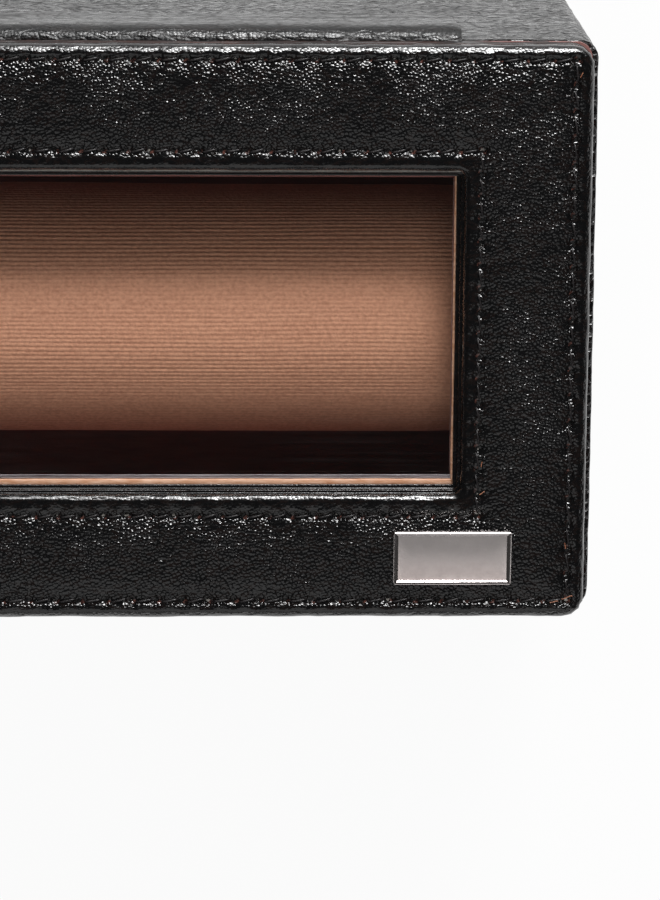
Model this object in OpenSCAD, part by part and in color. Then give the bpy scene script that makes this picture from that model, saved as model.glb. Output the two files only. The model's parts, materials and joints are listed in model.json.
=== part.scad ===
// Leather watch box with a window lid and one long watch roll.
// X runs along the box, -Y is the opening edge, +Y is the hinge, +Z is up.
// The origin is the middle of the face that the box lies on.

/* [Case] */
// Length of the case over its leather
case_l = 300; // [240:1:400]
// Depth of the case from its front face to its back face
case_d = 115; // [105:1:150]
// Height of the closed box, without the badge
box_h = 78; // [74:1:100]
// Radius of the upright corners of the case
corner_r = 4; // [2.5:0.5:6]
// Radius of the leather's turned edges at the rim and at the base
turn_r = 0.9; // [0.4:0.1:1.2]
// Thickness of the four wall boards
wall_t = 6; // [5:0.5:8]
// Thickness of the base board
base_t = 5; // [3:0.5:7]
// Thickness of the leather on the case and on the lid
leather_t = 1.2; // [0.9:0.1:1.6]
// Thickness of the leather cover under the base
base_cover_t = 1.2; // [0.8:0.1:2]
// Distance that the base cover stands back from the sides
base_inset = 2; // [1:0.5:5]

/* [Lining] */
// Thickness of the lining panels
lining_t = 1; // [0.6:0.1:1.6]
// Thickness of the leather rim on top of the walls
rim_t = 1; // [0.6:0.1:1.6]

/* [Lid] */
// Distance that the lid stands back from each end of the case
end_reveal = 1.5; // [0.4:0.1:3]
// Distance that the lid stands back from the back face of the case
back_setback = 0.4; // [0.3:0.1:1]
// Radius of the lid's corners seen from above
lid_corner_r = 3; // [2.4:0.1:5]
// Radius of the lid's upper outside edge
lid_edge_r = 2.2; // [1.8:0.1:2.3]
// Thickness of the lid's stiffening board
lid_board_t = 3; // [2.5:0.1:5]
// Thickness of the lining frame under the lid
lid_lining_t = 1; // [0.8:0.1:1.6]

/* [Window] */
// Width of the leather border beside the window
border = 26; // [20:0.5:32]
// Radius of the rolled leather lip round the window
lip_r = 1.2; // [0.6:0.1:1.6]
// Thickness of the natural leather liner between the board and the pane
liner_t = 0.8; // [0.5:0.1:1.5]
// Distance that the liner shows inside the leather lip
liner_show = 0.7; // [0.3:0.1:1.5]
// Thickness of the pane
pane_t = 1.2; // [1:0.1:2]
// Distance that the pane reaches under the border
pane_lap = 6; // [3:0.5:9]

/* [Badge] */
// Length of the metal badge
badge_l = 23.2; // [16:0.1:26]
// Width of the metal badge
badge_w = 10.3; // [7:0.1:12]
// Height of the badge's raised rim above the leather
badge_h = 1.1; // [0.8:0.1:1.6]
// Depth of the badge's field below its rim
badge_field_depth = 0.45; // [0.2:0.05:0.6]
// Width of the badge's raised rim
badge_rim_w = 0.8; // [0.5:0.1:1.5]
// Distance from the right end of the lid to the badge
badge_end_gap = 14.7; // [12:0.1:30]
// Distance from the front edge of the lid to the badge
badge_front_gap = 7.4; // [5.5:0.1:8]
// Radius of the two pins behind the badge
badge_pin_r = 0.7; // [0.5:0.1:1]
// Length of the badge pins below the leather surface
badge_pin_l = 3.2; // [2:0.1:3.6]

/* [Hinge] */
// Thickness of the leather hinge strip
strip_t = 1; // [0.8:0.1:1.6]
// Distance from each end of the case to the hinge strip
strip_inset = 27; // [16:1:60]
// Height of the strip on the back wall
strip_drop = 28; // [16:1:45]
// Width of the strip's flap under the lid
strip_flap = 14; // [10:0.5:17]
// Radius of the strip's lower corners
strip_corner_r = 5.5; // [2:0.5:8]

/* [Roll] */
// Outside diameter of the watch roll
roll_od = 47; // [44:0.5:50]
// Depth of the roll's axis below the top of the lid
roll_depth = 38.5; // [36:0.5:40]
// Distance that the roll lies in front of the middle of the box
roll_offset = 2.3; // [0:0.1:4]
// Thickness of the roll's ribbed fabric cover
cover_t = 0.9; // [0.6:0.1:1.6]
// Outside diameter of the roll's stiff core
core_od = 35; // [30:0.5:35]
// Wall of the roll's stiff core
core_wall = 1.8; // [1.2:0.1:2.4]
// Thickness of the discs that close the roll
cap_t = 3; // [2:0.5:5]
// Length of the plugs that hold the discs in the core
plug_l = 9; // [6:0.5:16]
// Radius of the roll's padded ends
roll_edge_r = 3; // [2:0.5:3.5]
// Distance that the end discs stand inside the roll's flat ends
cap_inset = 1; // [0.5:0.1:1]
// Diameter of the spigots that the roll lies on
spigot_d = 18; // [12:0.5:22]

/* [Cradles] */
// Thickness of the two cradle blocks
cradle_t = 9; // [6:0.5:12]
// Height of the cradles above the roll's axis
cradle_rise = 14; // [10.5:0.5:18]
// Play of the spigot in its notch, front to back
notch_play = 4.6; // [1:0.1:7]
// Radius of the notch's inner corners
notch_r = 4; // [1:0.5:6]
// Radius of the cradle's upper shoulders
shoulder_r = 8; // [2:0.5:12]

/* [Closure] */
// Length of each magnet
magnet_l = 14; // [8:0.5:20]
// Width of each magnet
magnet_w = 3.6; // [2.5:0.1:4.2]
// Height of the magnets in the front wall
magnet_h = 2.5; // [1.5:0.1:4]
// Distance from the middle of the box to each magnet
magnet_x = 62; // [30:1:100]

/* [Clearances] */
// Clearance of a part that lies loose in its seat
seat_gap = 0.2; // [0.1:0.05:0.3]
// Clearance between the roll's discs and the cradles
roll_end_gap = 1.5; // [0.5:0.1:3]
// Clearance round the badge pins and the magnets
pocket_gap = 0.05; // [0.02:0.01:0.15]

/* [Hidden] */

// Facets of round parts; small rounds take fewer
$fn = 96;
SMALL_FN = 48;
// Overlap that makes a cut run clean through
CUT = 1;

BLACK_LEATHER = [0.09, 0.085, 0.08];
BROWN_LINING = [0.2, 0.12, 0.1];
TAN_LEATHER = [0.72, 0.5, 0.34];
TAN_FABRIC = [0.7, 0.5, 0.38];
GREY_BOARD = [0.6, 0.56, 0.5];
PALE_FOAM = [0.9, 0.88, 0.82];
CARD_TUBE = [0.68, 0.55, 0.4];
BARE_METAL = [0.85, 0.85, 0.86];
MAGNET_METAL = [0.62, 0.63, 0.65];
CLEAR_PANE = [0.75, 0.82, 0.85, 0.35];

// Levels from the table upwards
z_board = base_cover_t;
z_lining = z_board + base_t;
z_floor = z_lining + lining_t;
lid_h = leather_t + lid_board_t + liner_t + pane_t + lid_lining_t;
z_rim = box_h - lid_h;
z_wall_top = z_rim - rim_t;
z_lid_lining_top = z_rim + lid_lining_t;
z_pane_top = z_lid_lining_top + pane_t;
z_liner_top = z_pane_top + liner_t;
z_lid_board_top = box_h - leather_t;

// Plan sizes inside the leather, the boards and the lining
board_l = case_l - 2 * leather_t;
board_d = case_d - 2 * leather_t;
hollow_l = board_l - 2 * wall_t;
hollow_d = board_d - 2 * wall_t;
room_l = hollow_l - 2 * lining_t;
room_d = hollow_d - 2 * lining_t;
board_corner_r = corner_r - leather_t;

// Plan of the lid
lid_l = case_l - 2 * end_reveal;
lid_d = case_d - back_setback;
lid_y = -back_setback / 2;
lid_core_l = lid_l - 2 * leather_t;
lid_core_d = lid_d - 2 * leather_t;
lid_core_r = lid_corner_r - leather_t;
lid_core_edge_r = min(lid_edge_r - leather_t, lid_core_r);
window_l = lid_l - 2 * border;
window_d = lid_d - 2 * border;
pocket_l = window_l + 2 * pane_lap;
pocket_d = window_d + 2 * pane_lap;

// Hinge strip: the lid turns about the middle of the fold's thickness
strip_l = case_l - 2 * strip_inset;

// Badge
badge_x = lid_l / 2 - badge_end_gap - badge_l / 2;
badge_y = -case_d / 2 + badge_front_gap + badge_w / 2;
badge_corner_r = 0.5;
badge_pin_x = badge_l * 0.32;

// Roll and cradles
roll_z = box_h - roll_depth;
roll_y = -roll_offset;
roll_r = roll_od / 2;
padding_r = roll_r - cover_t;
core_r = core_od / 2;
bore_r = core_r - core_wall;
cap_r = roll_r - roll_edge_r - cap_inset;
cradle_face = room_l / 2 - cradle_t;
roll_end = cradle_face - roll_end_gap;
roll_body_end = roll_end - cap_t;
spigot_r = spigot_d / 2;
spigot_end = room_l / 2 - seat_gap;
notch_w = spigot_d + notch_play;
notch_z = roll_z - spigot_r - seat_gap;
notch_y = roll_y - spigot_r - seat_gap + notch_w / 2;
cradle_top = roll_z + cradle_rise;

// Closure
magnet_y = -(board_d - wall_t) / 2;

// A rectangle with round corners, centred, whose arcs stay true arcs
module round_rect(l, d, r) {
    square([l - 2 * r, d], center = true);
    square([l, d - 2 * r], center = true);
    for (sx = [-1, 1], sy = [-1, 1])
        translate([sx * (l / 2 - r), sy * (d / 2 - r)]) circle(r, $fn = SMALL_FN);
}

// A plate with upright round corners from z0 to z1
module plate(l, d, r, z0, z1, y = 0) {
    translate([0, y, z0]) linear_extrude(z1 - z0) round_rect(l, d, r);
}

// A centred block from z0 to z1
module block(l, d, z0, z1, x = 0, y = 0) {
    translate([x - l / 2, y - d / 2, z0]) cube([l, d, z1 - z0]);
}

// Section of a slab w wide and h high whose two upper edges are rounded with edge_r
module soft_section(w, h, edge_r) {
    translate([-w / 2, 0]) square([w, h - edge_r]);
    translate([edge_r - w / 2, 0]) square([w - 2 * edge_r, h]);
    for (s = [-1, 1])
        translate([s * (w / 2 - edge_r), h - edge_r]) circle(edge_r, $fn = SMALL_FN);
}

// A plate whose upper outside edge is rounded with edge_r, up to and round its corners
module soft_plate(l, d, r, edge_r, z0, z1, y = 0) {
    h = z1 - z0;
    translate([0, y, z0]) {
        translate([r - l / 2, 0, 0]) rotate([90, 0, 90])
            linear_extrude(l - 2 * r) soft_section(d, h, edge_r);
        translate([0, d / 2 - r, 0]) rotate([90, 0, 0])
            linear_extrude(d - 2 * r) soft_section(l, h, edge_r);
        for (mx = [0, 1], my = [0, 1])
            mirror([mx, 0, 0]) mirror([0, my, 0]) translate([l / 2 - r, d / 2 - r, 0])
                rotate_extrude(angle = 90, $fn = SMALL_FN)
                    intersection() {
                        soft_section(2 * r, h, edge_r);
                        square([r, h]);
                    }
    }
}

// A plate whose upper and lower outside edges are both rounded with edge_r
module turned_plate(l, d, r, edge_r, z0, z1) {
    middle = (z0 + z1) / 2;
    soft_plate(l, d, r, edge_r, middle, z1);
    translate([0, 0, z0]) mirror([0, 0, 1]) soft_plate(l, d, r, edge_r, z0 - middle, 0);
}

// A block given by its low and high faces
module span_block(x0, x1, y0, y1, z0, z1) {
    translate([x0, y0, z0]) cube([x1 - x0, y1 - y0, z1 - z0]);
}

module base_cover() {
    color(BLACK_LEATHER)
        plate(case_l - 2 * base_inset, case_d - 2 * base_inset, corner_r - base_inset / 2,
              0, base_cover_t);
}

module base_board() {
    color(GREY_BOARD) block(hollow_l, hollow_d, z_board, z_lining);
}

// Front or back wall: full length, with the case's round corners; side is -1 or 1
module long_wall(side) {
    color(GREY_BOARD)
        intersection() {
            plate(board_l, board_d, board_corner_r, z_board, z_wall_top);
            block(case_l, wall_t, z_board, z_wall_top, 0, side * (board_d - wall_t) / 2);
        }
}

// Pockets for the magnets, sunk from the top of the front wall
module magnet_pockets() {
    for (s = [-1, 1])
        block(magnet_l + 2 * pocket_gap, magnet_w + 2 * pocket_gap, z_wall_top - magnet_h,
              z_wall_top + CUT, s * magnet_x, magnet_y);
}

module front_wall() {
    difference() {
        long_wall(-1);
        magnet_pockets();
    }
}

module back_wall() {
    long_wall(1);
}

// End wall, butted between the long walls; side is -1 or 1
module end_wall(side) {
    color(GREY_BOARD)
        block(wall_t, hollow_d, z_board, z_wall_top, side * (board_l - wall_t) / 2);
}

module left_wall() {
    end_wall(-1);
}

module right_wall() {
    end_wall(1);
}

module case_leather() {
    color(BLACK_LEATHER)
        difference() {
            turned_plate(case_l, case_d, corner_r, turn_r, z_board, z_rim);
            plate(board_l, board_d, board_corner_r, z_board - CUT, z_rim + CUT);
        }
}

module rim_leather() {
    color(BLACK_LEATHER)
        difference() {
            plate(board_l, board_d, board_corner_r, z_wall_top, z_rim);
            block(room_l, room_d, z_wall_top - CUT, z_rim + CUT);
        }
}

module floor_lining() {
    color(BROWN_LINING) block(hollow_l, hollow_d, z_lining, z_floor);
}

// Lining of the front or back wall; side is -1 or 1
module long_lining(side) {
    color(BROWN_LINING)
        block(hollow_l, lining_t, z_floor, z_wall_top, 0, side * (hollow_d - lining_t) / 2);
}

module front_lining() {
    long_lining(-1);
}

module back_lining() {
    long_lining(1);
}

// Lining of an end wall; side is -1 or 1
module end_lining(side) {
    color(BROWN_LINING)
        block(lining_t, room_d, z_floor, z_wall_top, side * (hollow_l - lining_t) / 2);
}

module left_lining() {
    end_lining(-1);
}

module right_lining() {
    end_lining(1);
}

// Outline of a cradle: a block with round shoulders and a notch for the spigot
module cradle_outline() {
    half_d = room_d / 2;
    difference() {
        union() {
            translate([-half_d, z_floor]) square([room_d, cradle_top - shoulder_r - z_floor]);
            translate([-half_d + shoulder_r, z_floor])
                square([room_d - 2 * shoulder_r, cradle_top - z_floor]);
            for (s = [-1, 1])
                translate([s * (half_d - shoulder_r), cradle_top - shoulder_r])
                    circle(shoulder_r, $fn = SMALL_FN);
        }
        translate([notch_y - notch_w / 2, notch_z + notch_r])
            square([notch_w, cradle_top - notch_z]);
        translate([notch_y - notch_w / 2 + notch_r, notch_z])
            square([notch_w - 2 * notch_r, cradle_top - notch_z]);
        for (s = [-1, 1])
            translate([notch_y + s * (notch_w / 2 - notch_r), notch_z + notch_r])
                circle(notch_r, $fn = SMALL_FN);
    }
}

// Cradle block at one end of the case; side is -1 or 1
module cradle(side) {
    color(BROWN_LINING)
        translate([side * (cradle_face + cradle_t / 2) - cradle_t / 2, 0, 0])
            rotate([90, 0, 90]) linear_extrude(cradle_t) cradle_outline();
}

module left_cradle() {
    cradle(-1);
}

module right_cradle() {
    cradle(1);
}

module case_magnets() {
    color(MAGNET_METAL)
        for (s = [-1, 1])
            block(magnet_l, magnet_w, z_wall_top - magnet_h, z_wall_top, s * magnet_x, magnet_y);
}

// Hinge leaf glued to the back wall, with round lower corners
module hinge_leaf_case() {
    half_l = strip_l / 2;
    r = strip_corner_r;
    color(BLACK_LEATHER)
        translate([0, case_d / 2 + strip_t, z_rim]) rotate([90, 0, 0]) linear_extrude(strip_t) {
            translate([-half_l, r - strip_drop]) square([strip_l, strip_drop - r]);
            translate([r - half_l, -strip_drop]) square([strip_l - 2 * r, strip_drop]);
            for (s = [-1, 1])
                translate([s * (half_l - r), r - strip_drop]) circle(r, $fn = SMALL_FN);
        }
}

// Flexible bend of the strip over the back edge
module hinge_fold() {
    color(BLACK_LEATHER)
        translate([-strip_l / 2, case_d / 2, z_rim]) rotate([90, 0, 90])
            linear_extrude(strip_l)
                intersection() {
                    circle(strip_t, $fn = SMALL_FN);
                    square([strip_t, strip_t]);
                }
}

// Flap of the strip glued under the lid
module hinge_leaf_lid() {
    color(BLACK_LEATHER)
        span_block(-strip_l / 2, strip_l / 2, case_d / 2 - strip_flap, case_d / 2,
                   z_rim, z_rim + strip_t);
}

// Cut of the window through the leather, flared by the rolled lip
module window_cut() {
    flare_l = window_l + 2 * lip_r;
    flare_d = window_d + 2 * lip_r;
    block(window_l, window_d, z_rim, box_h + CUT, 0, lid_y);
    difference() {
        block(flare_l, flare_d, box_h - lip_r, box_h + CUT, 0, lid_y);
        for (s = [-1, 1]) {
            translate([0, lid_y + s * flare_d / 2, box_h - lip_r]) rotate([0, 90, 0])
                cylinder(h = flare_l, r = lip_r, center = true, $fn = SMALL_FN);
            translate([s * flare_l / 2, lid_y, box_h - lip_r]) rotate([90, 0, 0])
                cylinder(h = flare_d, r = lip_r, center = true, $fn = SMALL_FN);
        }
    }
}

// Holes for the badge pins
module pin_holes() {
    for (s = [-1, 1])
        translate([badge_x + s * badge_pin_x, badge_y, box_h - badge_pin_l])
            cylinder(h = badge_pin_l + CUT, r = badge_pin_r + pocket_gap, $fn = SMALL_FN);
}

// The stiff core of the lid that the leather wraps
module lid_core() {
    soft_plate(lid_core_l, lid_core_d, lid_core_r, lid_core_edge_r, z_lid_lining_top,
               z_lid_board_top, lid_y);
}

// The board's window is larger by the leather that is turned down through it
module board_window(z0, z1) {
    block(window_l + 2 * leather_t, window_d + 2 * leather_t, z0, z1, 0, lid_y);
}

module lid_leather() {
    color(BLACK_LEATHER)
        difference() {
            soft_plate(lid_l, lid_d, lid_corner_r, lid_edge_r, z_lid_lining_top, box_h, lid_y);
            difference() {
                lid_core();
                board_window(z_liner_top, box_h);
            }
            plate(lid_core_l, lid_core_d, lid_core_r, z_lid_lining_top - CUT, z_liner_top, lid_y);
            window_cut();
            pin_holes();
        }
}

module lid_board() {
    color(GREY_BOARD)
        difference() {
            lid_core();
            block(lid_l, case_d, z_rim, z_liner_top);
            board_window(z_rim, box_h);
            pin_holes();
        }
}

// A flat frame as wide as the lid's core, with a window of the given overlap
module core_frame(overlap, z0, z1) {
    difference() {
        plate(lid_core_l, lid_core_d, lid_core_r, z0, z1, lid_y);
        block(window_l + 2 * overlap, window_d + 2 * overlap, z0 - CUT, z1 + CUT, 0, lid_y);
    }
}

module window_liner() {
    color(TAN_LEATHER) core_frame(-liner_show, z_pane_top, z_liner_top);
}

module window_pane() {
    color(CLEAR_PANE)
        block(pocket_l - 2 * seat_gap, pocket_d - 2 * seat_gap, z_lid_lining_top, z_pane_top,
              0, lid_y);
}

// Cut-outs in the backing for the lid's magnets
module lid_magnet_blocks(gap) {
    for (s = [-1, 1])
        block(magnet_l + 2 * gap, magnet_w + 2 * gap, z_lid_lining_top - gap,
              z_pane_top + gap, s * magnet_x, magnet_y);
}

module lid_backing() {
    color(GREY_BOARD)
        difference() {
            core_frame(pane_lap, z_lid_lining_top, z_pane_top);
            lid_magnet_blocks(pocket_gap);
        }
}

module lid_magnets() {
    color(MAGNET_METAL) lid_magnet_blocks(0);
}

// Lining frame under the lid, cut back for the hinge flap
module lid_lining() {
    color(BROWN_LINING)
        difference() {
            plate(lid_l, lid_d, lid_corner_r, z_rim, z_lid_lining_top, lid_y);
            block(window_l - 2 * liner_show, window_d - 2 * liner_show, z_rim - CUT,
                  z_lid_lining_top + CUT, 0, lid_y);
            span_block(-strip_l / 2 - seat_gap, strip_l / 2 + seat_gap,
                       case_d / 2 - strip_flap - seat_gap, case_d / 2 + CUT,
                       z_rim - CUT, z_lid_lining_top + CUT);
        }
}

// Bare metal plate with a raised rim round a sunk field
module badge_plate() {
    field_l = badge_l - 2 * badge_rim_w;
    field_w = badge_w - 2 * badge_rim_w;
    color(BARE_METAL)
        translate([badge_x, badge_y, 0])
            difference() {
                plate(badge_l, badge_w, badge_corner_r, box_h, box_h + badge_h);
                block(field_l, field_w, box_h + badge_h - badge_field_depth,
                      box_h + badge_h + CUT);
            }
}

module badge_pins() {
    color(BARE_METAL)
        for (s = [-1, 1])
            translate([badge_x + s * badge_pin_x, badge_y, box_h - badge_pin_l])
                cylinder(h = badge_pin_l, r = badge_pin_r, $fn = SMALL_FN);
}

// A cylinder along the roll's axis from x0 to x1
module roll_bar(r, x0, x1) {
    translate([x0, roll_y, roll_z]) rotate([0, 90, 0]) cylinder(h = x1 - x0, r = r);
}

// The roll's body as a solid with rounded ends, cut from the full length by inset
module roll_form(r, inset, edge_r) {
    half_l = roll_body_end - inset;
    translate([0, roll_y, roll_z]) rotate([0, 90, 0])
        rotate_extrude() {
            translate([0, -half_l]) square([r - edge_r, 2 * half_l]);
            translate([0, edge_r - half_l]) square([r, 2 * (half_l - edge_r)]);
            for (s = [-1, 1])
                translate([r - edge_r, s * (half_l - edge_r)]) circle(edge_r, $fn = SMALL_FN);
        }
}

// Cut for the core, through the whole roll
module core_cut(r) {
    roll_bar(r, -roll_body_end - CUT, roll_body_end + CUT);
}

module roll_core() {
    color(CARD_TUBE)
        difference() {
            roll_bar(core_r, -roll_body_end, roll_body_end);
            core_cut(bore_r);
        }
}

module roll_padding() {
    color(PALE_FOAM)
        difference() {
            roll_form(padding_r, cover_t, roll_edge_r - cover_t);
            core_cut(core_r);
        }
}

module roll_cover() {
    color(TAN_FABRIC)
        difference() {
            roll_form(roll_r, 0, roll_edge_r);
            roll_form(padding_r, cover_t, roll_edge_r - cover_t);
            core_cut(core_r);
        }
}

// Disc, plug and spigot at one end of the roll; side is -1 or 1
module roll_cap(side) {
    color(BROWN_LINING)
        translate([0, roll_y, roll_z]) rotate([0, side * 90, 0]) {
            translate([0, 0, roll_body_end]) cylinder(h = cap_t, r = cap_r);
            translate([0, 0, roll_body_end - plug_l]) cylinder(h = plug_l + CUT, r = bore_r);
            translate([0, 0, roll_body_end]) cylinder(h = spigot_end - roll_body_end, r = spigot_r);
        }
}

module roll_cap_left() {
    roll_cap(-1);
}

module roll_cap_right() {
    roll_cap(1);
}

base_cover();
base_board();
front_wall();
back_wall();
left_wall();
right_wall();
case_leather();
rim_leather();
floor_lining();
front_lining();
back_lining();
left_lining();
right_lining();
left_cradle();
right_cradle();
case_magnets();
hinge_leaf_case();
hinge_fold();
hinge_leaf_lid();
lid_leather();
lid_board();
window_liner();
window_pane();
lid_backing();
lid_lining();
lid_magnets();
badge_plate();
badge_pins();
roll_core();
roll_padding();
roll_cover();
roll_cap_left();
roll_cap_right();
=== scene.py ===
"""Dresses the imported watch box: leather, stitching, glazed lid, padded roll and studio.

Shapes are worked out in millimetres and stored in metres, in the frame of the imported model:
+X along the box, -Y the opening edge, +Y the hinge, +Z up, the origin under the middle.
"""

import json
import logging
import math
from collections.abc import Callable, Iterator, Sequence
from contextlib import contextmanager
from dataclasses import dataclass
from enum import Enum

import bmesh
import bpy
import numpy as np
from mathutils import Matrix, Vector
from mathutils.bvhtree import BVHTree


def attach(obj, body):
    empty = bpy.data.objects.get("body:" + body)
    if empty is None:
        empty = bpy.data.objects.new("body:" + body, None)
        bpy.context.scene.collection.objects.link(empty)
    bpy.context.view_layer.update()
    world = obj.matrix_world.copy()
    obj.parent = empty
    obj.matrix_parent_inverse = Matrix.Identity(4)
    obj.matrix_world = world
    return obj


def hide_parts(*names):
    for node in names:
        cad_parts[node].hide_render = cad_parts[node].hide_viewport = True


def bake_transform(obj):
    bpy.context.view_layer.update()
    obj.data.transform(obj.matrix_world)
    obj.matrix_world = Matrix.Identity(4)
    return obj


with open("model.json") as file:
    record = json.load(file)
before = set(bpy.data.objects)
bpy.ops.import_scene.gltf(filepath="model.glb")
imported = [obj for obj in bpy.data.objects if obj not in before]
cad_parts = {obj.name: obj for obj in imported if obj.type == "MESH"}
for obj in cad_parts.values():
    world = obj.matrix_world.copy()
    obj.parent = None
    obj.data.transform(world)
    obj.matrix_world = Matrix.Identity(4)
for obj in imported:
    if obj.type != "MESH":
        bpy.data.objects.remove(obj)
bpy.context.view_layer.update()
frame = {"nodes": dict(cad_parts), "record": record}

log = logging.getLogger("watch_box")
Piece = bpy.types.Object
Material = bpy.types.Material
Socket = bpy.types.NodeSocket
Colour = tuple[float, float, float]
Point = tuple[float, float]
MM = 0.001
NEAR = 1e-3


# ---------------------------------------------------------------- uneven, natural variation


def lattice(ix: np.ndarray, iy: np.ndarray, seed: int) -> np.ndarray:
    """A repeatable random number from -1 to 1 for each whole-number place."""
    bits = (ix * 374761393 + iy * 668265263 + seed * 1442695041) & 0xFFFFFFFF
    bits = ((bits ^ (bits >> 13)) * 1274126177) & 0xFFFFFFFF
    return ((bits ^ (bits >> 16)) & 0xFFFF) / 32767.5 - 1.0


def ease(value: np.ndarray) -> np.ndarray:
    """A smooth step from 0 to 1 as value goes from 0 to 1."""
    v = np.clip(value, 0, 1)
    return v * v * (3 - 2 * v)


def noise(x: np.ndarray, y: np.ndarray, seed: int) -> np.ndarray:
    """Smooth unevenness from -1 to 1 that changes over about one unit of x and y."""
    ix, iy = np.floor(x).astype(np.int64), np.floor(y).astype(np.int64)
    fx, fy = ease(x - ix), ease(y - iy)
    low = lattice(ix, iy, seed) * (1 - fx) + lattice(ix + 1, iy, seed) * fx
    high = lattice(ix, iy + 1, seed) * (1 - fx) + lattice(ix + 1, iy + 1, seed) * fx
    return low * (1 - fy) + high * fy


def bell(distance: np.ndarray, width: float | np.ndarray) -> np.ndarray:
    """1 where distance is 0, falling off smoothly within about width."""
    return np.exp(-((distance / width) ** 2))


def creases(x: np.ndarray, y: np.ndarray, width: float, seed: int) -> np.ndarray:
    """Thin wandering lines, 1 on a line and 0 away from it."""
    return bell(noise(x, y, seed) + 0.35 * noise(2.3 * x, 2.3 * y, seed + 7), width)


# ---------------------------------------------------------------- working on meshes


def points(obj: Piece) -> np.ndarray:
    """The mesh points of a piece, in millimetres."""
    flat = np.empty(len(obj.data.vertices) * 3)
    obj.data.vertices.foreach_get("co", flat)
    return flat.reshape(-1, 3) / MM


def normals(obj: Piece) -> np.ndarray:
    """The direction that each mesh point faces."""
    flat = np.empty(len(obj.data.vertices) * 3)
    obj.data.vertices.foreach_get("normal", flat)
    return flat.reshape(-1, 3)


def place(obj: Piece, where: np.ndarray) -> None:
    """Moves every mesh point of a piece to its row of where, in millimetres."""
    obj.data.vertices.foreach_set("co", (where * MM).ravel())
    obj.data.update()


def mark(obj: Piece, name: str, values: np.ndarray) -> None:
    """Stores one number per mesh point, for the finish to read."""
    layer = obj.data.attributes.new(name, "FLOAT", "POINT")
    layer.data.foreach_set("value", values.astype(np.float32))


def make_active(obj: Piece) -> None:
    """Selects one piece and nothing else."""
    bpy.ops.object.select_all(action="DESELECT")
    obj.select_set(True)
    bpy.context.view_layer.objects.active = obj


@contextmanager
def editing(obj: Piece) -> Iterator[None]:
    """Edit mode on one piece, with nothing selected at first."""
    make_active(obj)
    bpy.ops.object.mode_set(mode="EDIT")
    bpy.ops.mesh.select_mode(type="VERT")
    bpy.ops.mesh.select_all(action="DESELECT")
    yield
    bpy.ops.object.mode_set(mode="OBJECT")


def started(name: str, add: Callable[..., object], **settings: object) -> Piece:
    """Starts a piece from a primitive.

    Args:
        name: the piece's name.
        add: the operator that adds the primitive.
        settings: the primitive's size and place, in metres.

    Returns:
        The piece, at the origin, unturned and unscaled, with its place in its mesh.
    """
    bpy.ops.object.select_all(action="DESELECT")
    add(**settings)
    obj = bpy.context.object
    obj.name = obj.data.name = name
    make_active(obj)
    bpy.ops.object.transform_apply(location=True, rotation=True, scale=True)
    return obj


def spaced(stops: Sequence[float], steps: Sequence[float]) -> np.ndarray:
    """Lines from the first stop to the last, each stretch with its own spacing.

    Args:
        stops: places that a line must pass through, in order.
        steps: the widest spacing in each stretch between two stops.

    Returns:
        The places of all lines.
    """
    lines = [np.array([stops[0]])]
    for start, end, step in zip(stops, stops[1:], steps):
        count = max(1, math.ceil((end - start) / step - 1e-6))
        lines.append(np.linspace(start, end, count + 1)[1:])
    return np.concatenate(lines)


def sheet(name: str, columns: np.ndarray, rows: np.ndarray) -> Piece:
    """A flat sheet whose mesh lines run at the given columns and rows, in millimetres."""
    last_i, last_j = len(columns) - 1, len(rows) - 1
    grid = bpy.ops.mesh.primitive_grid_add
    obj = started(name, grid, x_subdivisions=last_i, y_subdivisions=last_j, size=2)
    at = points(obj) * MM
    i = np.rint((at[:, 0] + 1) / 2 * last_i).astype(int)
    j = np.rint((at[:, 1] + 1) / 2 * last_j).astype(int)
    place(obj, np.column_stack([columns[i], rows[j], np.zeros(len(at))]))
    return obj


def pick_faces(obj: Piece, test: Callable[[Vector, Vector], bool]) -> None:
    """Adds faces to the selection in edit mode.

    Args:
        obj: the piece being edited.
        test: tells from a face's middle in millimetres and its direction whether it is meant.
    """
    mesh = bmesh.from_edit_mesh(obj.data)
    bpy.context.tool_settings.mesh_select_mode = (False, False, True)
    mesh.select_mode = {"FACE"}
    for face in mesh.faces:
        if test(face.calc_center_median() / MM, face.normal):
            face.select_set(True)
    mesh.select_flush_mode()
    bmesh.update_edit_mesh(obj.data)


def pick_edges(obj: Piece, test: Callable[[Vector, Vector], bool]) -> None:
    """Adds edges to the selection in edit mode, by their two ends in millimetres."""
    mesh = bmesh.from_edit_mesh(obj.data)
    bpy.context.tool_settings.mesh_select_mode = (False, True, False)
    mesh.select_mode = {"EDGE"}
    for edge in mesh.edges:
        if test(edge.verts[0].co / MM, edge.verts[1].co / MM):
            edge.select_set(True)
    mesh.select_flush_mode()
    bmesh.update_edit_mesh(obj.data)


def inset(steps: Sequence[Point]) -> None:
    """Insets the selected face again and again, by each thickness and rise in millimetres."""
    for thin, rise in steps:
        bpy.ops.mesh.inset(thickness=thin * MM, depth=rise * MM)


def modify(obj: Piece, kind: str, **settings: object) -> None:
    """Adds a modifier with the given settings and applies it."""
    make_active(obj)
    modifier = obj.modifiers.new(kind.title(), kind)
    for key, value in settings.items():
        setattr(modifier, key, value)
    bpy.ops.object.modifier_apply(modifier=modifier.name)


def soften(obj: Piece, width: float, segments: int, angle: float) -> None:
    """Bevels all edges sharper than angle degrees, width millimetres wide."""
    limit = math.radians(angle)
    modify(obj, "BEVEL", width=width * MM, segments=segments, limit_method="ANGLE", angle_limit=limit)


def tidy_shell(obj: Piece, merge: float = 0.002) -> None:
    """Merges doubled points and turns all faces outwards."""
    with editing(obj):
        bpy.ops.mesh.select_all(action="SELECT")
        bpy.ops.mesh.remove_doubles(threshold=merge * MM)
        bpy.ops.mesh.normals_make_consistent(inside=False)


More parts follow.
